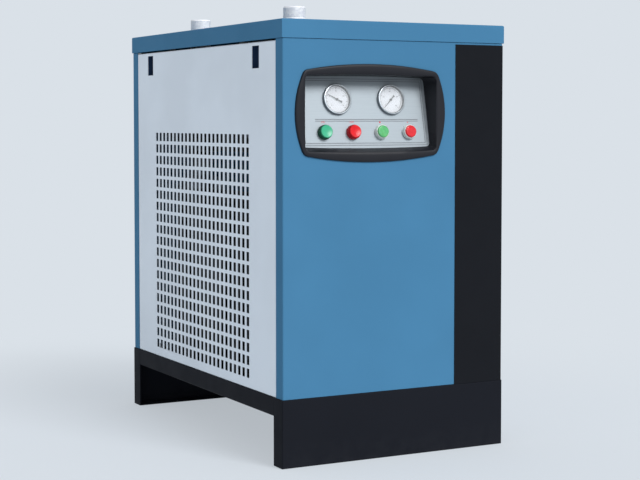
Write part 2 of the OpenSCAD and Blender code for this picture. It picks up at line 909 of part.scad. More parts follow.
module start_button() {
    button_cap(control_xs[0], "#4fbf98");
}

module start_button_collar() {
    button_collar(control_xs[0], "#1e5c48");
}

module stop_button() {
    button_cap(control_xs[1], "#e01c26");
}

module stop_button_collar() {
    button_collar(control_xs[1], "#8c1620");
}

// Indicator lens: a plain disc with a rounded rim, and its tube
module lamp_lens(x, tint) {
    top = collar_h + cap_up - 1;
    edge = 2;
    color(tint) on_plate(x, -control_down) rotate_extrude() {
        translate([0, 1]) square([lamp_r, top - edge - 1]);
        translate([0, 1]) square([lamp_r - edge, top - 1]);
        intersection() {
            translate([lamp_r - edge, top - edge]) circle(edge);
            translate([lamp_r - edge, top - edge]) square(edge);
        }
    }
}

module run_lamp_lens() {
    lamp_lens(control_xs[2], "#6cc482");
}

module fault_lamp_lens() {
    lamp_lens(control_xs[3], "#e0242c");
}

module lamp_collars() {
    color("#dfe3e6") for (i = [2, 3]) on_plate(control_xs[i], -control_down) difference() {
        union() {
            cylinder(h = 3, r = collar_d / 2);
            translate([0, 0, 3]) cylinder(h = collar_h - 4, r1 = collar_d / 2, r2 = collar_d / 2 - 1);
            translate([0, 0, -neck_len]) cylinder(h = neck_len + past, r = neck_r);
        }
        translate([0, 0, 1]) cylinder(h = collar_h, r = lamp_r + 0.1);
    }
}

// Contact blocks and lamp holders, with a pocket for each stem
module switch_blocks() {
    color("#2b2e33") for (x = control_xs) on_plate(x, -control_down) difference() {
        translate([-block_w / 2, -block_h / 2, -neck_len - block_len])
            cube([block_w, block_h, block_len]);
        translate([0, 0, -neck_len - travel - 8]) cylinder(h = travel + 8 + past, r = stem_r + 1);
    }
}

// ---- air side ----

// Pipe from the vessel's socket up through the cover, with a plain thread core at its top
module air_pipe(y) {
    bottom = vessel_z + vessel_r + nozzle_up - socket_depth + 1;
    top = cab_h + pipe_up;
    len = top - bottom;
    end_bevel = 2;
    color("#dcdde6") translate([pipe_cx, y, bottom]) difference() {
        union() {
            cylinder(h = len - thread_len, r = pipe_d / 2);
            cylinder(h = len - end_bevel, r = thread_d / 2);
            translate([0, 0, len - end_bevel])
                cylinder(h = end_bevel, r1 = thread_d / 2, r2 = thread_d / 2 - end_bevel / 2);
        }
        translate([0, 0, -past]) cylinder(h = len + 2 * past, r = pipe_d / 2 - pipe_t);
    }
}

module inlet_pipe() {
    air_pipe(inlet_cy);
}

module outlet_pipe() {
    air_pipe(outlet_cy);
}

module pipe_grommets() {
    groove_r = pipe_d / 2 + 4;
    flange_r = groove_r + 4;
    flange_t = 2.5;
    color("#1d1f22") for (y = [inlet_cy, outlet_cy])
        translate([pipe_cx, y, cab_h - panel_t - flange_t]) rotate_extrude() {
            translate([pipe_d / 2, 0]) square([groove_r - pipe_d / 2, panel_t + 2 * flange_t]);
            translate([pipe_d / 2, 0]) square([flange_r - pipe_d / 2, flange_t]);
            translate([pipe_d / 2, flange_t + panel_t]) square([flange_r - pipe_d / 2, flange_t]);
        }
}

module heat_exchanger() {
    nozzle_r = pipe_d / 2 + nozzle_t;
    neck_end = vessel_z - vessel_r - nozzle_up;
    color("#1f2226") difference() {
        union() {
            translate([pipe_cx, vessel_y1, vessel_z]) rotate([90, 0, 0])
                domed(vessel_r, vessel_y1 - vessel_y0, vessel_r * 0.45);
            for (y = [inlet_cy, outlet_cy]) translate([pipe_cx, y, vessel_z])
                cylinder(h = vessel_r + nozzle_up, r = nozzle_r);
            translate([pipe_cx, outlet_cy, neck_end]) cylinder(h = vessel_r, r = nozzle_r);
            translate([vessel_port_x, front_run_y + line_bend + 1, vessel_port_z]) rotate([-90, 0, 0])
                cylinder(h = vessel_port_len, r = line_r + 3);
            translate([pipe_cx, suction_y, vessel_z]) rotate([0, 90, 0])
                cylinder(h = vessel_r + port_len, r = suction_d / 2 + 2);
        }
        for (y = [inlet_cy, outlet_cy])
            translate([pipe_cx, y, vessel_z + vessel_r + nozzle_up - socket_depth])
                cylinder(h = socket_depth + past, r = pipe_d / 2 + running_gap);
    }
}

// Cross bars under the top frame with a strap round the vessel
module vessel_hangers() {
    strap_r = vessel_r + hanger_t;
    bar_top = frame_top - post_t;
    leg = bar_top - hanger_t - vessel_z;
    color("#5a6068") for (y = hanger_ys) {
        translate([0, y + hanger_w / 2, 0]) rotate([90, 0, 0]) linear_extrude(hanger_w) {
            translate([post_t - post_x, bar_top - hanger_t]) square([2 * (post_x - post_t), hanger_t]);
            translate([pipe_cx, vessel_z]) difference() {
                circle(strap_r, $fn = 96);
                circle(vessel_r, $fn = 96);
                translate([-strap_r - past, 0]) square([2 * (strap_r + past), strap_r + past]);
            }
            for (side = [-1, 1])
                translate([pipe_cx + side * (vessel_r + hanger_t / 2) - hanger_t / 2, vessel_z])
                    square([hanger_t, leg + past]);
        }
        translate([post_t - post_x, y - hanger_w / 2, bar_top - hanger_w])
            cube([pipe_cx - strap_r - post_t + post_x, hanger_t, hanger_w]);
        translate([pipe_cx + strap_r, y - hanger_w / 2, bar_top - hanger_w])
            cube([post_x - post_t - pipe_cx - strap_r, hanger_t, hanger_w]);
    }
}

module separator_vessel() {
    wall = 4;
    dome = separator_d * 0.3;
    color("#8e959c") difference() {
        union() {
            translate([pipe_cx, outlet_cy, separator_bottom]) domed(separator_d / 2, separator_h, dome);
            translate([pipe_cx, outlet_cy, separator_top - 10])
                cylinder(h = separator_neck - nozzle_up + 10, r = pipe_d / 2);
            translate([pipe_cx, outlet_cy, separator_bottom - 12]) cylinder(h = 30, r = 12);
        }
        translate([pipe_cx, outlet_cy, separator_bottom + wall])
            domed(separator_d / 2 - wall, separator_h - 2 * wall, dome - wall);
        translate([pipe_cx, outlet_cy, separator_top - 20])
            cylinder(h = separator_neck + 30, r = pipe_d / 2 - pipe_t);
    }
}

// Valve body under the separator with its coil beside it
module drain_valve() {
    color("#b99a52") {
        translate([pipe_cx - drain_block / 2, outlet_cy - drain_block / 2, drain_z - drain_block])
            cube(drain_block);
        translate([pipe_cx + drain_block / 2 - past, outlet_cy, outlet_z]) rotate([0, 90, 0])
            cylinder(h = 6, r = 9);
        translate([pipe_cx + drain_block / 2 + 4, outlet_cy - 17, outlet_z - 17]) cube([42, 34, 34]);
    }
}

module drain_line() {
    y0 = outlet_cy + drain_block / 2;
    y1 = post_y - 20;
    color("#c77b4a") bar([pipe_cx, y0, outlet_z], [pipe_cx, y1, outlet_z], drain_line_r);
}

// Bulkhead fitting with a hose spigot
module drain_outlet() {
    color("#c9a85a") translate([pipe_cx, post_y, outlet_z]) rotate([-90, 0, 0]) {
        translate([0, 0, -20]) cylinder(h = 20 + panel_t, r = 8);
        translate([0, 0, -5]) cylinder(h = 5, r = 13, $fn = 6);
        translate([0, 0, panel_t]) cylinder(h = 7, r = 13, $fn = 6);
        translate([0, 0, panel_t + 7]) cylinder(h = spigot_len, r = spigot_r);
    }
}

module cable_gland() {
    bore = 6;
    color("#24272b") translate([gland_x, post_y, gland_z]) rotate([-90, 0, 0]) difference() {
        union() {
            translate([0, 0, -12]) cylinder(h = 12 + panel_t, r = gland_r);
            translate([0, 0, -6]) cylinder(h = 6, r = 15, $fn = 6);
            translate([0, 0, panel_t]) cylinder(h = 6, r = 14.5, $fn = 6);
            translate([0, 0, panel_t + 6]) cylinder(h = 12, r = 12);
            translate([0, 0, panel_t + 18]) cylinder(h = 5, r1 = 12, r2 = 8);
        }
        translate([0, 0, -12 - past]) cylinder(h = 50, r = bore);
    }
}

// ---- refrigeration ----

module compressor() {
    dome = comp_r * 0.55;
    plate_w = mount_pitch + 2 * grommet_r;
    color("#17191c") translate([comp_cx, comp_cy, comp_low]) {
        domed(comp_r, comp_h, dome);
        translate([0, 0, comp_h * 0.52]) cylinder(h = 8, r = comp_r + 3);
        difference() {
            translate([-plate_w / 2, -plate_w / 2, -foot_t]) cube([plate_w, plate_w, foot_t]);
            for (sx = [-1, 1]) for (sy = [-1, 1])
                translate([sx * mount_pitch / 2, sy * mount_pitch / 2, -foot_t - past])
                    cylinder(h = foot_t + 2 * past, r = 7);
        }
        cylinder(h = dome, r = comp_r * 0.55);
        translate([0, 0, -foot_t]) cylinder(h = dome, r = comp_r * 0.7);
        translate([0, -comp_r + 8, discharge_z - comp_low]) rotate([90, 0, 0])
            cylinder(h = port_len, r = line_r + 2);
        translate([suction_x - comp_cx, suction_y - comp_cy, comp_h - dome])
            cylinder(h = dome + port_len, r = suction_d / 2);
    }
}

// Rubber grommets with their bolts
module compressor_mounts() {
    color("#24262a") for (sx = [-1, 1]) for (sy = [-1, 1])
        translate([comp_cx + sx * mount_pitch / 2, comp_cy + sy * mount_pitch / 2, pan_top]) {
            cylinder(h = comp_low - foot_t - pan_top, r = grommet_r);
            cylinder(h = comp_low - pan_top + 8, r = 5);
            translate([0, 0, comp_low - pan_top]) cylinder(h = 2, r = 11);
            translate([0, 0, comp_low - pan_top + 2]) cylinder(h = 5, r = 8, $fn = 6);
        }
}

// Cover over the terminals, curved to the compressor's shell
module compressor_terminal_cover() {
    reach = 28;
    w = 70;
    h = 80;
    color("#202327") translate([comp_cx - comp_r - reach, comp_cy, comp_low + comp_h * 0.55 + 10])
        difference() {
            translate([0, -w / 2, 0]) cube([2 * reach, w, h]);
            translate([reach + comp_r, 0, -past]) cylinder(h = h + 2 * past, r = comp_r + 0.2);
        }
}

fin_gap = (cond_w - fin_t) / (fins - 1);
tube_zs = [for (k = [0 : cond_tubes - 1]) cond_low + k * cond_pitch];

// Fin pack: upright plates threaded on the tubes, each a separate solid
module condenser_fins() {
    color("#23262b") for (i = [0 : fins - 1])
        translate([cond_x, -cond_w / 2 + fin_t + i * fin_gap, cond_z]) rotate([90, 0, 0])
            linear_extrude(fin_t) difference() {
                square([cond_t, cond_h], center = true);
                for (z = tube_zs) translate([0, z - cond_z]) circle(tube_r + 0.05);
            }
}

// One serpentine tube through all the fins
module condenser_tubes() {
    end_y = cond_w / 2 + tube_out;
    color("#b06a3c") for (k = [0 : cond_tubes - 1]) {
        translate([cond_x, end_y, tube_zs[k]]) rotate([90, 0, 0]) cylinder(h = 2 * end_y, r = tube_r);
        if (k < cond_tubes - 1)
            translate([cond_x, (k % 2 == 0 ? 1 : -1) * end_y, tube_zs[k] + cond_pitch / 2])
                rotate([90, 0, k % 2 == 0 ? 90 : -90]) rotate([0, 0, -90])
                    rotate_extrude(angle = 180) translate([cond_pitch / 2, 0]) circle(tube_r);
    }
}

// Shroud pan on the back of the condenser, with a collar round the fan
module fan_shroud() {
    h = cond_h;
    z0 = cond_z - h / 2;
    color("#2c3036") difference() {
        union() {
            translate([cond_back + shroud_depth, 0, z0]) rotate([0, 0, 90])
                pan(cond_w, shroud_depth, h, shroud_t, bend_r);
            translate([cond_back + shroud_depth - shroud_t, 0, cond_z]) rotate([0, 90, 0])
                cylinder(h = ring_len + shroud_t, r = ring_r + shroud_t, $fn = 96);
        }
        translate([cond_back + shroud_t, 0, cond_z]) rotate([0, 90, 0])
            cylinder(h = shroud_depth + ring_len, r = ring_r, $fn = 96);
    }
}

span_steps = 6;
chord_steps = 6;
blade_axial = 15;
blade_camber = 4;
blade_t = 2.4;

// Point of a blade: s runs out along the blade, t across it, side picks the face
function blade_point(s, t, side) =
    let (r = mix(hub_r - 4, fan_r, s), wide = mix(20, 23, s), lean = 14 * s * s)
    let (a = lean + wide * t)
    [blade_axial * t + blade_camber * (1 - t * t) + side * blade_t * mix(0.9, 0.35, s) / 2,
     r * cos(a), r * sin(a)];

// One swept blade as a closed grid
module blade() {
    n = chord_steps + 1;
    m = span_steps + 1;
    ring = 2 * n;
    points = [for (i = [0 : m - 1]) each concat(
        [for (j = [0 : n - 1]) blade_point(i / (m - 1), 2 * j / (n - 1) - 1, 1)],
        [for (j = [n - 1 : -1 : 0]) blade_point(i / (m - 1), 2 * j / (n - 1) - 1, -1)])];
    polyhedron(points = points, faces = concat(
        [for (j = [0 : n - 2]) each cap_pair(0, j, ring, false)],
        [for (i = [0 : m - 2]) for (j = [0 : ring - 1])
            let (k = (j + 1) % ring)
            each [[i * ring + j, i * ring + k, (i + 1) * ring + k],
                  [i * ring + j, (i + 1) * ring + k, (i + 1) * ring + j]]],
        [for (j = [0 : n - 2]) each cap_pair((m - 1) * ring, j, ring, true)]));
}

// Two triangles that close one strip of a blade's end
function cap_pair(start, j, ring, flip) =
    let (a = start + j, b = start + j + 1, c = start + ring - 2 - j, d = start + ring - 1 - j)
    flip ? [[a, b, c], [a, c, d]] : [[a, c, b], [a, d, c]];

module fan_blades() {
    color("#3b3f45") translate([fan_x, 0, cond_z]) difference() {
        union() {
            translate([-hub_len / 2, 0, 0]) rotate([0, 90, 0]) cylinder(h = hub_len, r = hub_r);
            for (i = [0 : blades - 1]) rotate([i * 360 / blades, 0, 0]) blade();
        }
        translate([-hub_len, 0, 0]) rotate([0, 90, 0])
            cylinder(h = 2 * hub_len, r = shaft_r + running_gap);
    }
}

module fan_motor() {
    color("#1c1e21") translate([motor_x, 0, cond_z]) rotate([0, 90, 0]) {
        domed(motor_r, motor_len, 12);
        translate([0, 0, -hub_len - 6]) cylinder(h = hub_len + 10, r = shaft_r);
        for (i = [0 : 3]) rotate(45 + 90 * i) translate([0, motor_r - 4, 0]) cylinder(h = 18, r = 6);
    }
}

// Wire guard on the shroud's collar, which carries the motor on four arms
module fan_guard() {
    first = motor_r + 4;
    outer = ring_r + shroud_t + 6;
    step = (outer - first) / (guard_rings - 1);
    color("#9aa0a6") translate([guard_x, 0, cond_z]) rotate([0, 90, 0]) {
        for (i = [0 : guard_rings - 1])
            rotate_extrude($fn = 64) translate([first + i * step, 0]) circle(wire_r);
        for (i = [0 : 3]) rotate(45 + 90 * i) translate([0, first - 2, -spoke_back])
            rotate([-90, 0, 0]) cylinder(h = outer - first + 3, r = wire_r);
    }
}

box_x = post_x - box_depth - 6;
box_y = -post_y + post_w + box_w / 2;

// Open control box on the floor pan, its mouth towards the right side panel
module control_box() {
    color("#8f969d") translate([box_x, box_y, pan_top]) rotate([0, 0, -90])
        pan(box_w, box_depth, box_h, 1.5, bend_r);
}

module contactor() {
    w = 45;
    color("#3a3d42") translate([box_x + 1.5, box_y - w - 12, pan_top + box_h - 110]) {
        cube([50, w, 76]);
        translate([50 - past, 6, 18]) cube([30 + past, w - 12, 40]);
    }
}

module terminal_strip() {
    poles = 9;
    pitch = 13;
    color("#c9ccc6") translate([box_x + 1.5, box_y - poles * pitch / 2, pan_top + 50]) {
        cube([8, poles * pitch, 36]);
        for (i = [0 : poles - 1]) translate([8 - past, i * pitch + 1, 4]) cube([26, pitch - 2, 28]);
    }
}

module filter_drier() {
    color("#b3763f") translate([drier_x, front_run_y, cond_low]) rotate([0, 90, 0]) {
        translate([0, 0, 12]) domed(drier_r, drier_len - 24, 14);
        cylinder(h = drier_len, r = line_r + 1);
    }
}

module discharge_line() {
    y0 = comp_cy - comp_r + 8 - port_len;
    turn_y = y0 - line_bend - 4;
    color("#b8703f") tube_run([
        [comp_cx, y0, discharge_z],
        [comp_cx, turn_y, discharge_z],
        [comp_cx, turn_y, high_run_z],
        [comp_cx, discharge_run_y, high_run_z],
        [cond_x, discharge_run_y, high_run_z],
        [cond_x, discharge_run_y, cond_in_z],
        [cond_x, cond_port_y, cond_in_z]
    ], line_r, line_bend);
}

module liquid_line() {
    color("#b8703f") {
        tube_run([
            [cond_x, cond_port_y, cond_low],
            [cond_x, front_run_y, cond_low],
            [drier_x, front_run_y, cond_low]
        ], line_r, line_bend);
        tube_run([
            [drier_x + drier_len, front_run_y, cond_low],
            [liquid_x, front_run_y, cond_low],
            [liquid_x, front_run_y, vessel_port_z],
            [vessel_port_x, front_run_y, vessel_port_z],
            [vessel_port_x, front_run_y + line_bend + 1, vessel_port_z]
        ], line_r, line_bend);
    }
}

module suction_line() {
    color("#1f2226") tube_run([
        [pipe_cx + vessel_r + port_len, suction_y, vessel_z],
        [suction_x, suction_y, vessel_z],
        [suction_x, suction_y, comp_top + port_len]
    ], suction_d / 2, suction_bend);
}

base_front_skirt();
base_rear_skirt();
base_side_rails();
floor_pan();
corner_posts();
top_frame();
top_cover();
front_panel();
front_strip();
rear_panel();
cabinet_screws();
left_side_panel();
left_panel_pulls();
right_side_panel();
right_panel_pulls();
panel_seals();
console_bezel();
console_plate();
left_gauge_case();
right_gauge_case();
gauge_dials();
left_gauge_needle();
right_gauge_needle();
gauge_lenses();
start_button();
start_button_collar();
stop_button();
stop_button_collar();
run_lamp_lens();
fault_lamp_lens();
lamp_collars();
switch_blocks();
inlet_pipe();
outlet_pipe();
pipe_grommets();
heat_exchanger();
vessel_hangers();
separator_vessel();
drain_valve();
drain_line();
drain_outlet();
cable_gland();
compressor();
compressor_mounts();
compressor_terminal_cover();
condenser_fins();
condenser_tubes();
fan_shroud();
fan_blades();
fan_motor();
fan_guard();
control_box();
contactor();
terminal_strip();
filter_drier();
discharge_line();
liquid_line();
suction_line();
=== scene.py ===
import math
import bpy
from mathutils import Matrix, Vector
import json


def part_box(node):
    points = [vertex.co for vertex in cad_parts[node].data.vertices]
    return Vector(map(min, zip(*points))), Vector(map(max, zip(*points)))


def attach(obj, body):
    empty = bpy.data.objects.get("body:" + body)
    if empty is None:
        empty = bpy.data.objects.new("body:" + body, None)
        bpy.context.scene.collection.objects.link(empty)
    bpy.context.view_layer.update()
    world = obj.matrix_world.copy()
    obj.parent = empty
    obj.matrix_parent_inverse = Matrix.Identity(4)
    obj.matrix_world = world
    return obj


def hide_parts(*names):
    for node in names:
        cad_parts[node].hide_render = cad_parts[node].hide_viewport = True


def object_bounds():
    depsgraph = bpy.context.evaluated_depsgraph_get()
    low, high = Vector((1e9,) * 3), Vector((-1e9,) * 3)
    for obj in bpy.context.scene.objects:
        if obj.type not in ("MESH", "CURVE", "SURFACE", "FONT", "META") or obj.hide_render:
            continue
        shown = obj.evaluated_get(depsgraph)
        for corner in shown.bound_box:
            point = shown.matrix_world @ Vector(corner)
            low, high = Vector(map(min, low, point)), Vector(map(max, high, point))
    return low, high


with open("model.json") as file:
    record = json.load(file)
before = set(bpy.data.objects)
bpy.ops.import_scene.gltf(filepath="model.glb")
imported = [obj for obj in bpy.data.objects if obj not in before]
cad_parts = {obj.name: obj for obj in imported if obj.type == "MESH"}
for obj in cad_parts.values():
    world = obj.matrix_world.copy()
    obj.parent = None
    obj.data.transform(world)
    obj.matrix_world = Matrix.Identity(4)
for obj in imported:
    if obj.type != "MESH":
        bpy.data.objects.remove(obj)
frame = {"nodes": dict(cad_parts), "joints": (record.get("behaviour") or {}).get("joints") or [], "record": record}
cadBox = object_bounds()

mm = 0.001
mergeGap = 1e-6         # m, points closer than this become one
looseMergeGap = 2e-6    # m, the same for the CAD nodes' loose triangles
crispAngle = 30         # degrees, an edge sharper than this stays crisp

record = frame["record"]
nodeSlot = {part["node"]: part["material_slot"] for part in record["subparts"]}
nodeBody = {node: body for body, members in record["behaviour"]["bodies"].items() for node in members}
joints = {joint["name"]: joint for joint in frame["joints"]}
print("frame loaded:", len(nodeSlot), "nodes")


def clearSelection():
    if bpy.context.object and bpy.context.object.mode != "OBJECT":
        bpy.ops.object.mode_set(mode="OBJECT")
    bpy.ops.object.select_all(action="DESELECT")


def pick(piece):
    clearSelection()
    piece.select_set(True)
    bpy.context.view_layer.objects.active = piece


def editAll(piece, mode="FACE"):
    # edit mode with the whole mesh selected
    pick(piece)
    bpy.ops.object.mode_set(mode="EDIT")
    bpy.ops.mesh.select_mode(type=mode)
    bpy.ops.mesh.select_all(action="SELECT")


def editFaces(piece, test):
    # edit mode with only the faces that pass the test selected
    editAll(piece)
    bpy.ops.mesh.select_all(action="DESELECT")
    bpy.ops.object.mode_set(mode="OBJECT")
    for face in piece.data.polygons:
        face.select = bool(test(face))
    bpy.ops.object.mode_set(mode="EDIT")


def applyModifier(piece, kind, **settings):
    pick(piece)
    modifier = piece.modifiers.new(kind.title(), kind)
    for name, value in settings.items():
        setattr(modifier, name, value)
    bpy.ops.object.modifier_apply(modifier=modifier.name)


def smoothPiece(piece, angle=crispAngle):
    pick(piece)
    bpy.ops.object.shade_smooth_by_angle(angle=math.radians(angle))


def roundEdges(piece, width):
    # a small round that catches the light, while the flat faces keep their own normals
    smoothPiece(piece)
    applyModifier(piece, "BEVEL", width=width * mm, segments=2, limit_method="ANGLE",
                  angle_limit=math.radians(crispAngle), use_clamp_overlap=True, harden_normals=True)


def alike(piece, count):
    # the piece and its copies, each with a mesh of its own
    made = [piece]
    while len(made) < count:
        pick(piece)
        bpy.ops.object.duplicate()
        made.append(bpy.context.object)
    return made


def joinPieces(pieces, name):
    clearSelection()
    for piece in pieces:
        piece.select_set(True)
    joined = pieces[0]
    bpy.context.view_layer.objects.active = joined
    bpy.ops.object.join()
    joined.name = joined.data.name = name
    return joined


def placePiece(piece, matrix):
    # the place goes into the mesh, so the object stays at the origin
    pick(piece)
    piece.matrix_world = matrix @ piece.matrix_world
    bpy.ops.object.transform_apply(location=True, rotation=True, scale=True)


def copiedTo(piece, places):
    # the piece and its copies, one at each place
    made = alike(piece, len(places))
    for copy, place in zip(made, places):
        placePiece(copy, place)
    return made


def handOver(piece, body, slotName, stands=(), finish=None):
    # its finish, the body it moves with, and the CAD nodes it stands for
    piece.data.materials.clear()
    piece.data.materials.append(finishes[finish or slotName])
    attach(piece, body)
    if stands:
        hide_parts(*stands)


def turned(name, profile, segments=64, ring=False):
    # a circle is extruded and scaled from one (radius, height) in mm to the next, as on a lathe;
    # a ring comes back to its first circle, and a solid starts and ends on a flat face
    clearSelection()
    radius, height = profile[0]
    bpy.ops.mesh.primitive_circle_add(vertices=segments, radius=radius * mm, location=(0, 0, 0),
                                      fill_type="NOTHING" if ring else "NGON")
    piece = bpy.context.object
    piece.name = piece.data.name = name
    editAll(piece, "EDGE" if ring else "FACE")
    bpy.ops.transform.translate(value=(0, 0, height * mm))
    extrude = bpy.ops.mesh.extrude_edges_move if ring else bpy.ops.mesh.extrude_region_move
    for nextRadius, nextHeight in profile[1:] + (profile[:1] if ring else []):
        extrude()
        bpy.ops.transform.translate(value=(0, 0, (nextHeight - height) * mm))
        scale = nextRadius / radius
        bpy.ops.transform.resize(value=(scale, scale, 1), center_override=(0, 0, nextHeight * mm))
        radius, height = nextRadius, nextHeight
    bpy.ops.mesh.select_all(action="SELECT")
    bpy.ops.mesh.remove_doubles(threshold=mergeGap)
    bpy.ops.mesh.normals_make_consistent(inside=False)
    bpy.ops.object.mode_set(mode="OBJECT")
    return piece


def linearColour(hexColour):
    # sRGB hex to the linear values that the shaders take
    channels = [int(hexColour[i:i + 2], 16) / 255 for i in (1, 3, 5)]
    return [c / 12.92 if c <= 0.04045 else ((c + 0.055) / 1.055) ** 2.4 for c in channels] + [1.0]


def shade(hexColour, amount):
    # the same hue, lighter above 1 and darker below
    return [min(c * amount, 1.0) for c in linearColour(hexColour)[:3]] + [1.0]


def grainScale(size):
    # a texture's scale for a feature of that size in mm
    return 1 / (size * mm)


def addNode(tree, kind, inputs=None, **settings):
    node = tree.nodes.new(kind)
    for name, value in settings.items():
        setattr(node, name, value)
    for socket, value in (inputs or {}).items():
        if isinstance(value, bpy.types.NodeSocket):
            tree.links.new(value, node.inputs[socket])
        else:
            node.inputs[socket].default_value = value
    return node


mixShare, mixFirst, mixSecond, mixResult = 0, 6, 7, 2   # the Mix node's sockets for blending colours
noiseLow, noiseHigh = 0.35, 0.65                        # nearly all of the noise lies between these


def startFinish(name, roughness, metallic=0.0, ior=1.5, specular=0.5):
    # a new material with what is the same all over it; a metal keeps the shader's own IOR
    material = bpy.data.materials.new(name)
    material.use_nodes = True
    tree = material.node_tree
    shader = tree.nodes["Principled BSDF"]
    shader.inputs["Roughness"].default_value = roughness
    shader.inputs["Metallic"].default_value = metallic
    if not metallic:
        shader.inputs["IOR"].default_value = ior
    shader.inputs["Specular IOR Level"].default_value = specular
    place = addNode(tree, "ShaderNodeTexCoord").outputs["Object"]
    return material, tree, shader, place


def patches(tree, place, size, detail, low=0.0, high=1.0, fromLow=noiseLow, fromHigh=noiseHigh):
    # soft patches of a size in mm, which run from low to high
    cloud = addNode(tree, "ShaderNodeTexNoise", {
        "Vector": place, "Scale": grainScale(size), "Detail": detail})
    spread = addNode(tree, "ShaderNodeMapRange", {
        "Value": cloud.outputs["Fac"], "From Min": fromLow, "From Max": fromHigh,
        "To Min": low, "To Max": high})
    return spread.outputs["Result"]


def patchyColour(tree, shader, place, first, second, size, detail, **span):
    # the base colour goes from the first to the second over the patches, which are given back
    share = patches(tree, place, size, detail, **span)
    colour = addNode(tree, "ShaderNodeMix", {mixShare: share, mixFirst: first, mixSecond: second},
                     data_type="RGBA")
    tree.links.new(colour.outputs[mixResult], shader.inputs["Base Color"])
    return share


def patchyGloss(tree, shader, place, low, high, size, detail):
    # the roughness goes from low to high over the patches
    tree.links.new(patches(tree, place, size, detail, low, high), shader.inputs["Roughness"])


def grainRelief(tree, shader, place, size, detail, depth):
    # grain of a size in mm that stands out by a depth in mm
    grain = addNode(tree, "ShaderNodeTexNoise", {
        "Vector": place, "Scale": grainScale(size), "Detail": detail})
    bumps = addNode(tree, "ShaderNodeBump", {"Height": grain.outputs["Fac"], "Distance": depth * mm})
    tree.links.new(bumps.outputs["Normal"], shader.inputs["Normal"])


powderCoat = {
    "peel": 3.2,          # mm between the orange peel's bumps, twice the real one so that it shows
    "peelDepth": 0.035,   # mm
    "cloud": 170,         # mm across the faint clouds of thicker and thinner powder
    "cloudShare": 0.03,   # how much lighter and darker they are
    "glossPatch": 45,     # mm across the duller and glossier places
    "dustHeight": 60,     # mm above the floor that dust reaches
    "dustPatch": 22, "dustShare": 0.012, "dustColour": "#94969a",
}


def powderCoatedSteel(name, hexColour, roughness, specular=0.25):
    # polyester powder baked on sheet steel: a satin skin with a fine orange peel and a little dust
    # low down; the matting agent in it holds the gloss down
    material, tree, shader, place = startFinish(name, roughness, specular=specular)
    paint = addNode(tree, "ShaderNodeMix", {
        mixShare: patches(tree, place, size=powderCoat["cloud"], detail=3),
        mixFirst: shade(hexColour, 1 - powderCoat["cloudShare"]),
        mixSecond: shade(hexColour, 1 + powderCoat["cloudShare"])}, data_type="RGBA")
    height = addNode(tree, "ShaderNodeSeparateXYZ", {"Vector": place})
    low = addNode(tree, "ShaderNodeMapRange", {
        "Value": height.outputs["Z"], "From Min": 0.0, "From Max": powderCoat["dustHeight"] * mm,
        "To Min": powderCoat["dustShare"], "To Max": 0.0})
    dust = addNode(tree, "ShaderNodeMath", {
        0: low.outputs["Result"], 1: patches(tree, place, size=powderCoat["dustPatch"], detail=4)},
        operation="MULTIPLY")
    dusty = addNode(tree, "ShaderNodeMix", {
        mixShare: dust.outputs["Value"], mixFirst: paint.outputs[mixResult],
        mixSecond: linearColour(powderCoat["dustColour"])}, data_type="RGBA")
    tree.links.new(dusty.outputs[mixResult], shader.inputs["Base Color"])
    patchyGloss(tree, shader, place, roughness - 0.04, roughness + 0.05,
                size=powderCoat["glossPatch"], detail=3)
    grainRelief(tree, shader, place, size=powderCoat["peel"], detail=1.5, depth=powderCoat["peelDepth"])
    return material


def glossEnamel(name, hexColour):
    # stoved enamel on pressed steel: a deep gloss with soft waviness
    material, tree, shader, place = startFinish(name, roughness=0.22)
    shader.inputs["Coat Weight"].default_value = 0.4
    shader.inputs["Coat Roughness"].default_value = 0.08
    patchyColour(tree, shader, place, shade(hexColour, 0.85), shade(hexColour, 1.2), size=60, detail=3)
    grainRelief(tree, shader, place, size=14, detail=2, depth=0.06)
    return material


def galvanisedSteel(name, hexColour, spangle=9.0, roughness=0.42, metallic=1.0):
    # hot-dip zinc: pale grey crystals that turn the light different ways; a white bloom on the zinc
    # makes it look less metallic
    material, tree, shader, place = startFinish(name, roughness, metallic)
    cells = addNode(tree, "ShaderNodeTexVoronoi", {"Vector": place, "Scale": grainScale(spangle)})
    crystal = addNode(tree, "ShaderNodeSeparateColor", {"Color": cells.outputs["Color"]}).outputs["Red"]
    zinc = addNode(tree, "ShaderNodeMix", {
        mixShare: crystal, mixFirst: shade(hexColour, 0.88), mixSecond: shade(hexColour, 1.1)},
        data_type="RGBA")
    tree.links.new(zinc.outputs[mixResult], shader.inputs["Base Color"])
    gloss = addNode(tree, "ShaderNodeMapRange", {
        "Value": crystal, "To Min": roughness - 0.08, "To Max": roughness + 0.1})
    tree.links.new(gloss.outputs["Result"], shader.inputs["Roughness"])
    grainRelief(tree, shader, place, size=1.6, detail=2, depth=0.02)
    return material


def zincPlated(name, hexColour):
    # bright zinc on small turned parts: even, with faint tool marks
    material, tree, shader, place = startFinish(name, roughness=0.3, metallic=1.0)
    patchyColour(tree, shader, place, shade(hexColour, 0.92), shade(hexColour, 1.05), size=0.8, detail=2)
    grainRelief(tree, shader, place, size=0.8, detail=2, depth=0.01)
    return material


def millSteel(name, hexColour):
    # hot-rolled vessel plate under clear lacquer: mottled grey with a dull shine
    material, tree, shader, place = startFinish(name, roughness=0.45, metallic=0.9)
    mottle = patchyColour(tree, shader, place, shade(hexColour, 0.75), shade(hexColour, 1.1),
                          size=35, detail=5)
    gloss = addNode(tree, "ShaderNodeMapRange", {"Value": mottle, "To Min": 0.38, "To Max": 0.55})
    tree.links.new(gloss.outputs["Result"], shader.inputs["Roughness"])
    grainRelief(tree, shader, place, size=5, detail=3, depth=0.05)
    return material


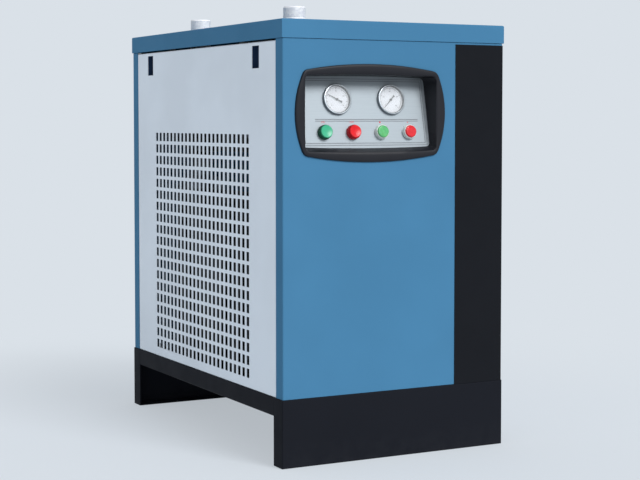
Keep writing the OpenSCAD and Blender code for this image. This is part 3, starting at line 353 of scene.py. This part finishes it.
def drawnCopper(name, hexColour):
    # soft-drawn tube: bright copper that has browned a little where it was handled
    material, tree, shader, place = startFinish(name, roughness=0.28, metallic=1.0)
    brown = linearColour("#8a4a2c")
    tarnish = patchyColour(tree, shader, place, linearColour(hexColour), brown, size=28, detail=4,
                           fromLow=0.45, fromHigh=0.7)
    gloss = addNode(tree, "ShaderNodeMapRange", {"Value": tarnish, "To Min": 0.24, "To Max": 0.42})
    tree.links.new(gloss.outputs["Result"], shader.inputs["Roughness"])
    return material


def turnedBrass(name, hexColour):
    # free-cutting brass off the lathe: warm, with fine rings
    material, tree, shader, place = startFinish(name, roughness=0.25, metallic=1.0)
    rings = addNode(tree, "ShaderNodeMapping", {"Vector": place, "Scale": (1, 6, 1)}).outputs["Vector"]
    patchyColour(tree, shader, rings, shade(hexColour, 0.9), shade(hexColour, 1.05), size=1.2, detail=2)
    grainRelief(tree, shader, rings, size=1.2, detail=2, depth=0.015)
    return material


def coatedShadedFins(name, hexColour):
    # aluminium strip with a thin black coat against corrosion, made near-black also as painted shade so the view
    # through the vents stays dark; a little paler where dust sits
    material, tree, shader, place = startFinish(name, roughness=0.55, specular=0.3)
    patchyColour(tree, shader, place, linearColour(hexColour), shade(hexColour, 1.6), size=18, detail=4)
    upright = addNode(tree, "ShaderNodeMapping", {"Vector": place, "Scale": (1, 1, 0.1)})
    grainRelief(tree, shader, upright.outputs["Vector"], size=1.5, detail=2, depth=0.02)
    return material


brushedPlate = {
    "hair": 0.9,                   # mm from line to line, coarser than the real one so that it shows
    "across": (0.012, 1, 1),       # the lines run across the plate
    "gloss": (0.40, 0.52), "depth": 0.008,
}


def anodisedAluminium(name, hexColour):
    # silver anodised sheet brushed across its width: long fine lines under a satin film
    material, tree, shader, place = startFinish(name, roughness=0.45, metallic=0.4)
    across = addNode(tree, "ShaderNodeMapping", {"Vector": place, "Scale": brushedPlate["across"]})
    hair = addNode(tree, "ShaderNodeTexNoise", {
        "Vector": across.outputs["Vector"], "Scale": grainScale(brushedPlate["hair"]),
        "Detail": 3.0, "Roughness": 0.6}).outputs["Fac"]
    tone = addNode(tree, "ShaderNodeMapRange", {
        "Value": hair, "From Min": noiseLow, "From Max": noiseHigh})
    metal = addNode(tree, "ShaderNodeMix", {
        mixShare: tone.outputs["Result"], mixFirst: shade(hexColour, 0.95),
        mixSecond: shade(hexColour, 1.04)}, data_type="RGBA")
    tree.links.new(metal.outputs[mixResult], shader.inputs["Base Color"])
    low, high = brushedPlate["gloss"]
    gloss = addNode(tree, "ShaderNodeMapRange", {
        "Value": hair, "From Min": noiseLow, "From Max": noiseHigh, "To Min": low, "To Max": high})
    tree.links.new(gloss.outputs["Result"], shader.inputs["Roughness"])
    lines = addNode(tree, "ShaderNodeBump", {"Height": hair, "Distance": brushedPlate["depth"] * mm})
    tree.links.new(lines.outputs["Normal"], shader.inputs["Normal"])
    return material


def chromePlate(name, hexColour):
    # satin chrome over blasted brass: a soft metal sheen with the faintest haze of handling
    material, tree, shader, place = startFinish(name, roughness=0.3, metallic=1.0)
    shader.inputs["Base Color"].default_value = linearColour(hexColour)
    patchyGloss(tree, shader, place, low=0.27, high=0.36, size=16, detail=3)
    return material


def mouldedPlastic(name, hexColour, roughness=0.42, grain=0.9, depth=0.02, specular=0.3):
    # nylon or ABS from a spark-eroded mould: an even leather-like grain, a little brighter in places
    material, tree, shader, place = startFinish(name, roughness, ior=1.53, specular=specular)
    patchyColour(tree, shader, place, shade(hexColour, 0.94), shade(hexColour, 1.06), size=40, detail=3)
    patchyGloss(tree, shader, place, roughness - 0.05, roughness + 0.06, size=grain, detail=2)
    grainRelief(tree, shader, place, size=grain, detail=2, depth=depth)
    return material


def glossPlastic(name, hexColour, roughness=0.24, specular=0.3):
    # polished ABS: a smooth skin with the slight flow lines of the mould
    material, tree, shader, place = startFinish(name, roughness, ior=1.53, specular=specular)
    patchyColour(tree, shader, place, shade(hexColour, 0.95), shade(hexColour, 1.05), size=9, detail=2)
    grainRelief(tree, shader, place, size=3, detail=1, depth=0.008)
    return material


def lensPlastic(name, hexColour):
    # tinted polycarbonate over a diffuser: light comes back from a little way in
    material, tree, shader, place = startFinish(name, roughness=0.16, ior=1.58)
    shader.inputs["Subsurface Weight"].default_value = 0.25
    shader.inputs["Subsurface Scale"].default_value = 2 * mm
    patchyColour(tree, shader, place, shade(hexColour, 0.93), shade(hexColour, 1.06), size=6, detail=2)
    return material


def paintedDial(name, hexColour):
    # matt lacquer on aluminium sheet, fine as paper
    material, tree, shader, place = startFinish(name, roughness=0.6)
    patchyColour(tree, shader, place, shade(hexColour, 0.97), shade(hexColour, 1.02), size=0.5, detail=2)
    grainRelief(tree, shader, place, size=0.5, detail=2, depth=0.005)
    return material


def printedInk(name, hexColour):
    # screen-printed ink: flat, with places where it lies thinner
    material, tree, shader, place = startFinish(name, roughness=0.55)
    patchyColour(tree, shader, place, linearColour(hexColour), shade(hexColour, 1.25),
                 size=0.6, detail=2)
    return material


def windowAcrylic(name, hexColour):
    # a flat clear window: it shows the dial and only a faint gloss
    material, tree, shader, place = startFinish(name, roughness=0.04, ior=1.49)
    shader.inputs["Base Color"].default_value = linearColour(hexColour)
    shader.inputs["Alpha"].default_value = 0.16
    patchyGloss(tree, shader, place, low=0.02, high=0.07, size=12, detail=3)
    return material


def mouldedRubber(name, hexColour):
    # EPDM: matt black with a bloom that greys it in patches
    material, tree, shader, place = startFinish(name, roughness=0.7)
    patchyColour(tree, shader, place, linearColour(hexColour), shade(hexColour, 1.5), size=14, detail=4)
    grainRelief(tree, shader, place, size=1.2, detail=2, depth=0.03)
    return material


def closedCellFoam(name, hexColour, cell=2.4, depth=0.12):
    # elastomer insulation: soft black skin pitted with burst cells
    material, tree, shader, place = startFinish(name, roughness=0.85, ior=1.45)
    cells = addNode(tree, "ShaderNodeTexVoronoi", {"Vector": place, "Scale": grainScale(cell)})
    skin = addNode(tree, "ShaderNodeMix", {
        mixShare: cells.outputs["Distance"], mixFirst: shade(hexColour, 0.7),
        mixSecond: shade(hexColour, 1.35)}, data_type="RGBA")
    tree.links.new(skin.outputs[mixResult], shader.inputs["Base Color"])
    pits = addNode(tree, "ShaderNodeBump", {
        "Height": cells.outputs["Distance"], "Distance": depth * mm})
    tree.links.new(pits.outputs["Normal"], shader.inputs["Normal"])
    return material


finishes = {   # by the record's material slots, and the inks and the pulls' plastic after them
    "base_black": powderCoatedSteel("SatinBlackPowderCoat", "#1d1f25", roughness=0.45, specular=0.02),
    # painted shade: the frame's posts and rails take a darker copy of the cabinet's blue, for the shade they sit
    # in
    "frame_blue": powderCoatedSteel("ShadedBluePowderCoat", "#2f5f83", roughness=0.45, specular=0.05),
    "cabinet_blue": powderCoatedSteel("BluePowderCoat", "#477b9f", roughness=0.42, specular=0.015),
    "panel_grey": powderCoatedSteel("PaleGreyPowderCoat", "#e4eef8", roughness=0.5, specular=0.5),
    "strip_black": powderCoatedSteel("SmoothBlackPowderCoat", "#15171c", roughness=0.4, specular=0.08),
    "shroud_black": powderCoatedSteel("ShroudPowderCoat", "#15191f", roughness=0.5),
    "compressor_black": glossEnamel("BlackStovedEnamel", "#15171a"),
    "galvanised_steel": galvanisedSteel("GalvanisedSheet", "#9ea3a8"),
    "pipe_steel": galvanisedSteel("GalvanisedPipe", "#fafaff", spangle=4.0, roughness=0.55,
                                  metallic=0.05),
    "zinc_steel": zincPlated("BrightZinc", "#b8bcc0"),
    "vessel_steel": millSteel("LacqueredVesselPlate", "#8e9299"),
    "copper": drawnCopper("DrawnCopper", "#c27a48"),
    "brass": turnedBrass("TurnedBrass", "#c7a75c"),
    # part coat, part painted shade: the fins are near-black so the vents look dark inside
    "fin_black": coatedShadedFins("BlackCoatedShadedFins", "#0f131a"),
    "plate_aluminium": anodisedAluminium("SilverAnodisedAluminium", "#98a1a7"),
    "chrome": chromePlate("SatinChrome", "#9ba1a6"),
    "bezel_plastic": mouldedPlastic("GrainedBlackAbs", "#1b1c22", grain=1.1, depth=0.03, specular=0.22),
    "black_plastic": mouldedPlastic("BlackNylon", "#10151c"),
    "green_plastic": glossPlastic("GreenButtonAbs", "#3fae84"),
    "dark_green_plastic": glossPlastic("DarkGreenCollarAbs", "#15573f"),
    "red_plastic": glossPlastic("RedButtonAbs", "#dc161f"),
    "dark_red_plastic": glossPlastic("DarkRedCollarAbs", "#b8141e"),
    "white_plastic": glossPlastic("WhiteCollarAbs", "#dbe4e2", roughness=0.28, specular=0.5),
    "green_lens": lensPlastic("GreenLens", "#62bb76"),
    "red_lens": lensPlastic("RedLens", "#de222c"),
    "dial_white": paintedDial("DialLacquer", "#e9ebf0"),
    "needle_black": printedInk("NeedleLacquer", "#17181a"),
    "gauge_glass": windowAcrylic("GaugeWindow", "#f4f8fa"),
    "rubber_black": mouldedRubber("BlackEpdm", "#15171a"),
    "foam_rubber": closedCellFoam("ClosedCellFoam", "#16191e"),
    "ink_black": printedInk("BlackDialInk", "#1b1c1f"),
    "ink_red": printedInk("RedPanelInk", "#c4303a"),
    # part ink and part painted shade: the grooves' lines are made dark to stand for their shade
    "ink_and_shade_grey": printedInk("GreyGrooveInkAndShade", "#5f6065"),
    "navy_plastic": mouldedPlastic("NavyNylon", "#263b59"),
}
print("finishes made:", len(finishes))


edgeRounds = {   # mm, on the pieces whose edges show
    "base_front_skirt": 0.8, "base_rear_skirt": 0.8, "base_side_rails": 0.8,
    "floor_pan": 0.5, "top_cover": 0.6, "front_panel": 0.5, "front_strip": 0.4, "rear_panel": 0.5,
    "left_side_panel": 0.35, "right_side_panel": 0.35,
    "left_panel_pulls": 0.4, "right_panel_pulls": 0.4,
    "corner_posts": 0.4, "top_frame": 0.4, "console_plate": 0.3,
    "left_gauge_case": 0.35, "right_gauge_case": 0.35, "pipe_grommets": 0.5,
    "control_box": 0.5, "contactor": 0.8, "terminal_strip": 0.5, "switch_blocks": 0.8,
    "drain_valve": 0.5, "drain_outlet": 0.3, "cable_gland": 0.4, "fan_motor": 0.6, "fan_shroud": 0.5,
    "compressor_terminal_cover": 1.2, "vessel_hangers": 0.4,
}
otherFinishes = {   # where a piece looks different from the rest of its slot
    "left_panel_pulls": "navy_plastic", "right_panel_pulls": "navy_plastic",
}
ownPieces = {   # these get a modelled piece of their own below
    "start_button_collar", "stop_button_collar", "lamp_collars", "run_lamp_lens", "fault_lamp_lens",
    "inlet_pipe", "outlet_pipe",
}


def dressNode(node):
    # the loose triangles are merged in a copy, which takes the rounds and the smooth shading
    source = frame["nodes"][node]
    piece = bpy.data.objects.new(node + "_dressed", source.data.copy())
    bpy.context.scene.collection.objects.link(piece)
    editAll(piece)
    bpy.ops.mesh.remove_doubles(threshold=looseMergeGap)
    bpy.ops.object.mode_set(mode="OBJECT")
    if piece.data.has_custom_normals:
        bpy.ops.mesh.customdata_custom_splitnormals_clear()
    if node in edgeRounds:
        roundEdges(piece, edgeRounds[node])
    else:
        smoothPiece(piece)
    handOver(piece, nodeBody[node], nodeSlot[node], [node], otherFinishes.get(node))


for node in nodeSlot:
    if node not in ownPieces:
        dressNode(node)
print("CAD pieces dressed")


# the console's own directions: to the right, up the plate, and out of it
right = Vector((1, 0, 0))
outward = -Vector(joints["start_button_press"]["axis"]).normalized()
upward = outward.cross(right).normalized()
consoleTurn = Matrix((right, upward, outward)).transposed().to_4x4()


def spanAlong(node, direction):
    reach = [direction.dot(vertex.co) for vertex in frame["nodes"][node].data.vertices]
    return min(reach), max(reach)


plateFace = spanAlong("console_plate", outward)[1]


def onPlate(x, up, out=0.0):
    # a place on the plate: x and up in metres as spanAlong gives them, out in mm above its face
    return Matrix.Translation(right * x + upward * up + outward * (plateFace + out * mm)) @ consoleTurn


def middleOf(node):
    return [sum(spanAlong(node, direction)) / 2 for direction in (right, upward)]


def gaugeMiddle(side):
    spindle = Vector(joints[side + "_needle_turn"]["pos_m"])
    return right.dot(spindle), upward.dot(spindle)


ink = {
    "cornerShare": 0.3, "cornerSteps": 2,   # the round at a strip's corners, as a share of its width
    "fontShare": 1.4,                       # font size for a capital's height
    "curveSteps": 3,
}


def flatStrip(width, height, thickness, x=0.0, up=0.0, out=0.0):
    # a thin strip of ink with its corners rounded, in mm
    clearSelection()
    middle = Vector((x, up, out)) * mm
    bpy.ops.mesh.primitive_plane_add(size=1, location=middle)
    piece = bpy.context.object
    editAll(piece)
    bpy.ops.transform.resize(value=(width * mm, height * mm, 1), center_override=middle)
    bpy.ops.mesh.bevel(offset=min(width, height) * ink["cornerShare"] * mm, segments=ink["cornerSteps"],
                       affect="VERTICES")
    bpy.ops.mesh.extrude_region_move(TRANSFORM_OT_translate={"value": (0, 0, thickness * mm)})
    bpy.ops.mesh.select_all(action="SELECT")
    bpy.ops.mesh.normals_make_consistent(inside=False)
    bpy.ops.object.mode_set(mode="OBJECT")
    bpy.ops.object.transform_apply(location=True, rotation=True, scale=True)
    return piece


def lettering(text, height, thickness, x=0.0, up=0.0, out=0.0):
    # raised letters centred on a place, in mm
    clearSelection()
    bpy.ops.object.text_add(location=(x * mm, up * mm, out * mm))
    letters = bpy.context.object.data
    letters.body = text
    letters.size = height * ink["fontShare"] * mm
    letters.align_x, letters.align_y = "CENTER", "CENTER"
    letters.extrude = thickness * mm / 2
    letters.resolution_u = ink["curveSteps"]
    bpy.ops.object.convert(target="MESH")
    bpy.ops.object.transform_apply(location=True, rotation=True, scale=True)
    return bpy.context.object


gauge = {   # mm unless it says otherwise
    "dialTop": 1.0, "dialRadius": 29.0,           # above the plate, as the case gives them
    "sweep": 270,                                 # degrees from the first tick to the last
    "tickEvery": 6.75, "mainEvery": 5,            # degrees, and ticks from one main tick to the next
    "tick": (0.4, 2.2), "mainTick": (0.8, 3.8),   # width and length
    "arcRadius": 25.2, "arcWidth": 0.45,
    "arcOverlap": 1.04,                           # each short length of the arc laps over the next
    "numberRadius": 17.6, "numberHeight": 3.3,
    "inkThickness": 0.06,
    # the ring below is painted shade: a black ring for the shaded inner wall of the gauge's case
    "shadeRingTop": 4.45, "shadeRingWall": 1.5, "shadeRingGap": 0.05,
    "shadeRingLip": 0.3, "shadeRingEdge": 0.5, "shadeRingSegments": 72,
    "numbers": {"left": ("0", "4", "8", "12", "16"), "right": ("0", "20", "40", "60", "80")},
}


def makeDialScale():
    # an arc open at the bottom, with its ticks
    sweep, every = gauge["sweep"], gauge["tickEvery"]
    rim, thick = gauge["arcRadius"], gauge["inkThickness"]
    count = round(sweep / every)
    mainSteps = range(0, count + 1, gauge["mainEvery"])
    tickSteps = [i for i in range(count + 1) if i not in mainSteps]
    arcSteps = [i + 0.5 for i in range(count)]
    tick, mainTick = (flatStrip(width, length, thick, up=rim - length / 2)
                      for width, length in (gauge["tick"], gauge["mainTick"]))
    arc = flatStrip(rim * math.radians(every) * gauge["arcOverlap"], gauge["arcWidth"], thick, up=rim)
    marks = []
    for strip, steps in ((tick, tickSteps), (mainTick, mainSteps), (arc, arcSteps)):
        marks += copiedTo(strip, [
            Matrix.Rotation(math.radians(sweep / 2 - step * every), 4, "Z") for step in steps])
    return joinPieces(marks, "dial_scale")


def makeDialPrint(side, scale, numbers):
    # the scale with its plain numbers, read clockwise
    marks = [scale]
    for i, number in enumerate(numbers):
        angle = math.radians(90 + gauge["sweep"] / 2 - i * gauge["sweep"] / (len(numbers) - 1))
        x, up = gauge["numberRadius"] * math.cos(angle), gauge["numberRadius"] * math.sin(angle)
        marks.append(lettering(number, gauge["numberHeight"], gauge["inkThickness"], x, up,
                               gauge["inkThickness"] / 2))
    printed = joinPieces(marks, side + "_dial_print")
    placePiece(printed, onPlate(*gaugeMiddle(side), gauge["dialTop"]))
    handOver(printed, "cabinet", "needle_black", finish="ink_black")


def makeGaugeShadeRing():
    # a black ring between dial and window, put in as painted shade: the dark line it shows inside the bright ring
    # stands for the shaded inner wall of the case
    outer, top = gauge["dialRadius"] - gauge["shadeRingGap"], gauge["shadeRingTop"]
    inner, low = outer - gauge["shadeRingWall"], gauge["dialTop"] + gauge["shadeRingGap"]
    return turned("gauge_shade_ring", [
        (inner + gauge["shadeRingLip"], low), (outer, low), (outer, top), (inner, top),
        (inner, top - gauge["shadeRingEdge"])], gauge["shadeRingSegments"], ring=True)


scale, shadeRing = makeDialScale(), makeGaugeShadeRing()
for (side, numbers), scale, shadeRing in zip(gauge["numbers"].items(), alike(scale, 2), alike(shadeRing, 2)):
    makeDialPrint(side, scale, numbers)
    # painted shade: a black ring on each gauge for the shade on the case's inner wall
    shadeRing.name = shadeRing.data.name = side + "_gauge_shade_ring"
    placePiece(shadeRing, onPlate(*gaugeMiddle(side)))
    smoothPiece(shadeRing)
    handOver(shadeRing, "cabinet", "rubber_black")
print("gauges printed")


plateInk = {   # mm
    "edge": 2.5,                                          # under the bezel on each side
    "borderInsets": (6.0, 10.5),                          # as the plate's grooves
    "dividerUps": (-15.5, -19.0), "dividerX": 7.0, "dividerLength": 243.0,
    "width": 1.1, "thickness": 0.25, "depth": 0.4,
    "words": {"start_button": "ON", "stop_button": "OFF"},
    "wordHeight": 4.2, "wordThickness": 0.1, "wordOut": 0.06,
    "signs": {"run_lamp_lens": 24, "fault_lamp_lens": 3},   # corners, for a dot and a triangle
    "signRadius": 1.9, "signEdge": 0.15, "signThickness": 0.1, "signOut": 0.01,
    "markUp": 21.0,                                       # above the middle of a control
}


def makePlateLines():
    # grey lines in the plate's grooves: part ink, part painted shade of the grooves
    left, rightEnd = spanAlong("console_plate", right)
    low, high = spanAlong("console_plate", upward)
    width, height = [span / mm - 2 * plateInk["edge"] for span in (rightEnd - left, high - low)]
    line, thick, deep = plateInk["width"], plateInk["thickness"], -plateInk["depth"]
    rows = [(flatStrip(plateInk["dividerLength"], line, thick, plateInk["dividerX"], 0, deep),
             [(0, up) for up in plateInk["dividerUps"]])]
    for inset in plateInk["borderInsets"]:
        across, along = width - 2 * inset, height - 2 * inset
        rows.append((flatStrip(line, along, thick, out=deep), [(-across / 2, 0), (across / 2, 0)]))
        rows.append((flatStrip(across, line, thick, out=deep), [(0, -along / 2), (0, along / 2)]))
    strips = []
    for strip, places in rows:
        strips += copiedTo(strip, [Matrix.Translation((x * mm, up * mm, 0)) for x, up in places])
    lines = joinPieces(strips, "plate_line_ink_and_shade")
    placePiece(lines, onPlate((left + rightEnd) / 2, (low + high) / 2))
    handOver(lines, "cabinet", "plate_aluminium", finish="ink_and_shade_grey")


def flatSign(corners):
    # a small raised dot or triangle
    clearSelection()
    bpy.ops.mesh.primitive_circle_add(
        vertices=corners, radius=plateInk["signRadius"] * mm, fill_type="NGON")
    sign = bpy.context.object
    editAll(sign)
    bpy.ops.mesh.inset(thickness=plateInk["signEdge"] * mm)
    bpy.ops.mesh.extrude_region_move(
        TRANSFORM_OT_translate={"value": (0, 0, plateInk["signThickness"] * mm)})
    bpy.ops.object.mode_set(mode="OBJECT")
    return sign


def placeMark(mark, node, out):
    x, up = middleOf(node)
    placePiece(mark, onPlate(x, up + plateInk["markUp"] * mm, out))
    return mark


def makeMarks():
    # generic words over the buttons, and a dot and a triangle over the lamps
    marks = []
    for node, word in plateInk["words"].items():
        letters = lettering(word, plateInk["wordHeight"], plateInk["wordThickness"])
        marks.append(placeMark(letters, node, plateInk["wordOut"]))
    for node, corners in plateInk["signs"].items():
        marks.append(placeMark(flatSign(corners), node, plateInk["signOut"]))
    handOver(joinPieces(marks, "control_marks"), "cabinet", "red_plastic", finish="ink_red")


makePlateLines()
makeMarks()
print("plate printed")


control = {   # profiles as radius and height in mm above the plate
    "collar": [
        (6.3, -20), (10.9, -20), (10.9, 0), (15.0, 0), (15.0, 1.6), (14.6, 2.1), (14.6, 2.9),
        (14.9, 3.3), (14.7, 8.6), (14.35, 9.7), (14.1, 10.0), (13.85, 10.0), (13.6, 9.7), (13.5, 4.0),
        (6.3, 4.0)],
    "grips": 32, "gripLow": 3.4, "gripHigh": 8.5, "gripRadius": 14, "gripEdge": 0.2, "gripDepth": 0.4,
    "lampCollar": [
        (10.9, -20), (10.9, 0), (15.0, 0), (15.0, 1.6), (14.6, 2.0), (14.5, 8.2), (14.0, 8.9),
        (13.2, 9.0), (12.85, 8.6), (12.75, 1.0)],
    "lens": [   # its top has three rings pressed in
        (12.6, 1.2), (12.6, 11.0), (12.0, 12.3), (11.2, 12.9), (10.4, 13.0), (10.0, 12.5), (9.4, 12.5),
        (9.0, 13.0), (7.4, 13.0), (7.0, 12.5), (6.4, 12.5), (6.0, 13.0), (4.4, 13.0), (4.0, 12.5),
        (3.4, 12.5), (3.0, 13.0), (1.0, 13.0)],
    "buttons": ("start_button", "stop_button"),
    "lamps": {"run_lamp_lens": "green_lens", "fault_lamp_lens": "red_lens"},   # and their finishes
    "crispAngle": 40,   # degrees
}


def placeOnControl(piece, node, name):
    piece.name = piece.data.name = name
    placePiece(piece, onPlate(*middleOf(node)))
    smoothPiece(piece, control["crispAngle"])


def isGrip(face):
    # every other side face, counted round the collar
    turn = math.degrees(math.atan2(face.center.y, face.center.x)) % 360
    outside = math.hypot(face.center.x, face.center.y) > control["gripRadius"] * mm
    onSide = control["gripLow"] < face.center.z / mm < control["gripHigh"]
    return outside and onSide and int(turn / 360 * 2 * control["grips"]) % 2 == 0


def makeButtonCollar():
    # every other face goes in a little, which leaves ribs for the fingertips
    collar = turned("ribbed_collar", control["collar"], 2 * control["grips"], ring=True)
    editFaces(collar, isGrip)
    bpy.ops.mesh.inset(thickness=control["gripEdge"] * mm, depth=-control["gripDepth"] * mm,
                       use_individual=True)
    bpy.ops.object.mode_set(mode="OBJECT")
    return collar


for button, collar in zip(control["buttons"], alike(makeButtonCollar(), len(control["buttons"]))):
    placeOnControl(collar, button, button + "_ribbed_collar")
    handOver(collar, "cabinet", nodeSlot[button + "_collar"], [button + "_collar"])

lamps = control["lamps"]
lampCollars = alike(turned("lamp_collar", control["lampCollar"]), len(lamps))
lenses = alike(turned("lamp_lens", control["lens"]), len(lamps))
for (lamp, finish), collar, lens in zip(lamps.items(), lampCollars, lenses):
    placeOnControl(collar, lamp, lamp + "_collar")
    placeOnControl(lens, lamp, lamp + "_ridged")
    handOver(lens, nodeBody[lamp], nodeSlot[lamp], [lamp], finish)
collarPair = joinPieces(lampCollars, "lamp_collar_pair")
handOver(collarPair, nodeBody["lamp_collars"], nodeSlot["lamp_collars"], ["lamp_collars"])
print("controls made")


stub = {   # mm
    "bore": 20.95, "outer": 24.15, "segments": 72,
    "threadLength": 25, "threadRoot": 23.2, "threadCrest": 23.95,
    "pitch": 2.309,                     # 11 turns to the inch
    "ridge": 0.8, "ridgeSteps": 48,     # radius of the three-sided ridge, and its faces in each turn
    "runOut": 0.8, "threadStart": 1.4,  # above the shoulder
    "bevel": 1.2, "bevelIn": 0.8,
    "crispAngle": 35,                   # degrees
}


def makeStub(node):
    # the pipe's wall, then a ridge screwed up from the shoulder to its end as the thread
    low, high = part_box(node)
    bottom, top = low.z / mm, high.z / mm
    bore, outer, root = stub["bore"], stub["outer"], stub["threadRoot"]
    shoulder = top - stub["threadLength"]
    wall = turned(node + "_threaded", [
        (bore, bottom), (outer, bottom), (outer, shoulder), (root, shoulder + stub["runOut"]),
        (root, top - stub["bevel"]), (root - stub["bevelIn"], top), (bore, top)],
        stub["segments"], ring=True)
    clearSelection()
    bpy.ops.mesh.primitive_circle_add(vertices=3, radius=stub["ridge"] * mm, location=(0, 0, 0),
                                      fill_type="NOTHING")
    ridge = bpy.context.object
    editAll(ridge)
    bpy.ops.transform.rotate(value=math.radians(90), orient_axis="X", center_override=(0, 0, 0))
    bpy.ops.transform.translate(value=(
        (root + stub["threadCrest"]) / 2 * mm, 0, (shoulder + stub["threadStart"]) * mm))
    bpy.ops.object.mode_set(mode="OBJECT")
    turns = int((stub["threadLength"] - stub["threadStart"] - stub["bevel"]) / stub["pitch"])
    applyModifier(ridge, "SCREW", axis="Z", angle=math.radians(360), screw_offset=stub["pitch"] * mm,
                  iterations=turns, steps=stub["ridgeSteps"], render_steps=stub["ridgeSteps"],
                  use_merge_vertices=True, merge_threshold=mergeGap)
    piece = joinPieces([wall, ridge], node + "_threaded")
    placePiece(piece, Matrix.Translation(((low.x + high.x) / 2, (low.y + high.y) / 2, 0)))
    smoothPiece(piece, stub["crispAngle"])
    handOver(piece, nodeBody[node], nodeSlot[node], [node])


for node in ("inlet_pipe", "outlet_pipe"):
    makeStub(node)
print("stubs threaded")


studio = {
    "backdrop": "#dae1e8", "sky": "#f6f8fb", "skyStrength": 0.55,
    "floorSize": 14.0, "floorDrop": 0.0005,   # m
    "fadeStart": 0.5, "fadeEnd": 1.7,         # m from the middle, over which floor becomes backdrop
    "floorGlow": 0.6,                         # share of the backdrop in the floor near the object
    "sunDistance": 4,                         # m
    "suns": {   # strength, width in degrees, and the side that the light comes from
        "key_sun": (2.3, 26, (0.22, -0.80, 0.55)),
        "fill_sun": (0.12, 60, (-0.85, -0.25, 0.45)),
    },
}


def backdropRay(tree):
    # 1 for rays that see the background, 0 for those that gather light from it
    path = addNode(tree, "ShaderNodeLightPath")
    seen = addNode(tree, "ShaderNodeMath", {
        0: path.outputs["Is Camera Ray"], 1: path.outputs["Is Glossy Ray"]}, operation="MAXIMUM")
    through = addNode(tree, "ShaderNodeMath", {
        0: seen.outputs["Value"], 1: path.outputs["Is Transmission Ray"]}, operation="MAXIMUM")
    return through.outputs["Value"]


def makeWorld():
    world = bpy.data.worlds.new("StudioWorld")
    bpy.context.scene.world = world
    world.use_nodes = True
    tree = world.node_tree
    tree.nodes.clear()
    light = addNode(tree, "ShaderNodeBackground", {
        "Color": linearColour(studio["sky"]), "Strength": studio["skyStrength"]})
    shown = addNode(tree, "ShaderNodeBackground", {
        "Color": linearColour(studio["backdrop"]), "Strength": 1.0})
    both = addNode(tree, "ShaderNodeMixShader", {
        0: backdropRay(tree), 1: light.outputs[0], 2: shown.outputs[0]})
    addNode(tree, "ShaderNodeOutputWorld", {"Surface": both.outputs[0]})


def makeFloor():
    # matt paper that turns into the backdrop's own colour away from the object, and keeps its shadow
    clearSelection()
    bpy.ops.mesh.primitive_plane_add(size=studio["floorSize"], location=(0, 0, -studio["floorDrop"]))
    floor = bpy.context.object
    floor.name = "studio_floor"
    material, tree, shader, place = startFinish("PalePaperFloor", roughness=0.9)
    shader.inputs["Base Color"].default_value = linearColour(studio["backdrop"])
    flat = addNode(tree, "ShaderNodeVectorMath", {0: place, 1: (1, 1, 0)}, operation="MULTIPLY")
    distance = addNode(tree, "ShaderNodeVectorMath", {0: flat.outputs["Vector"]}, operation="LENGTH")
    fade = addNode(tree, "ShaderNodeMapRange", {
        "Value": distance.outputs["Value"], "From Min": studio["fadeStart"],
        "From Max": studio["fadeEnd"], "To Min": studio["floorGlow"]}, interpolation_type="SMOOTHSTEP")
    seen = addNode(tree, "ShaderNodeMath", {
        0: fade.outputs["Result"], 1: backdropRay(tree)}, operation="MULTIPLY")
    glow = addNode(tree, "ShaderNodeEmission", {
        "Color": linearColour(studio["backdrop"]), "Strength": 1.0})
    both = addNode(tree, "ShaderNodeMixShader", {
        0: seen.outputs["Value"], 1: shader.outputs[0], 2: glow.outputs[0]})
    tree.links.new(both.outputs[0], tree.nodes["Material Output"].inputs["Surface"])
    floor.data.materials.append(material)


def makeSun(name, strength, angle, source):
    clearSelection()
    bpy.ops.object.light_add(type="SUN", location=Vector(source) * studio["sunDistance"])
    sun = bpy.context.object
    sun.name = name
    sun.data.energy = strength
    sun.data.angle = math.radians(angle)
    sun.rotation_euler = Vector(source).to_track_quat("Z", "Y").to_euler()


camera = {
    "fromCorner": (-1353.3, -2706.1, 698.7),   # mm from the base's front left corner
    "yaw": 27.99, "pitch": -2.99,              # degrees
    "lens": 85.9, "sensor": 36.0,              # mm
    "shiftY": -0.0625, "clipEnd": 50,
}


def makeCamera():
    clearSelection()
    bpy.ops.object.camera_add()
    eye = bpy.context.object
    eye.name = "studio_camera"
    corner = Vector((cadBox[0].x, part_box("base_front_skirt")[0].y, 0))
    eye.location = corner + Vector(camera["fromCorner"]) * mm
    eye.rotation_euler = (math.radians(90 + camera["pitch"]), 0, -math.radians(camera["yaw"]))
    eye.data.lens = camera["lens"]
    eye.data.sensor_width = camera["sensor"]
    eye.data.shift_y = camera["shiftY"]
    eye.data.clip_end = camera["clipEnd"]
    bpy.context.scene.camera = eye


makeWorld()
makeFloor()
for name, (strength, angle, source) in studio["suns"].items():
    makeSun(name, strength, angle, source)
makeCamera()
bpy.context.scene.view_settings.view_transform = "Standard"
print("studio ready")
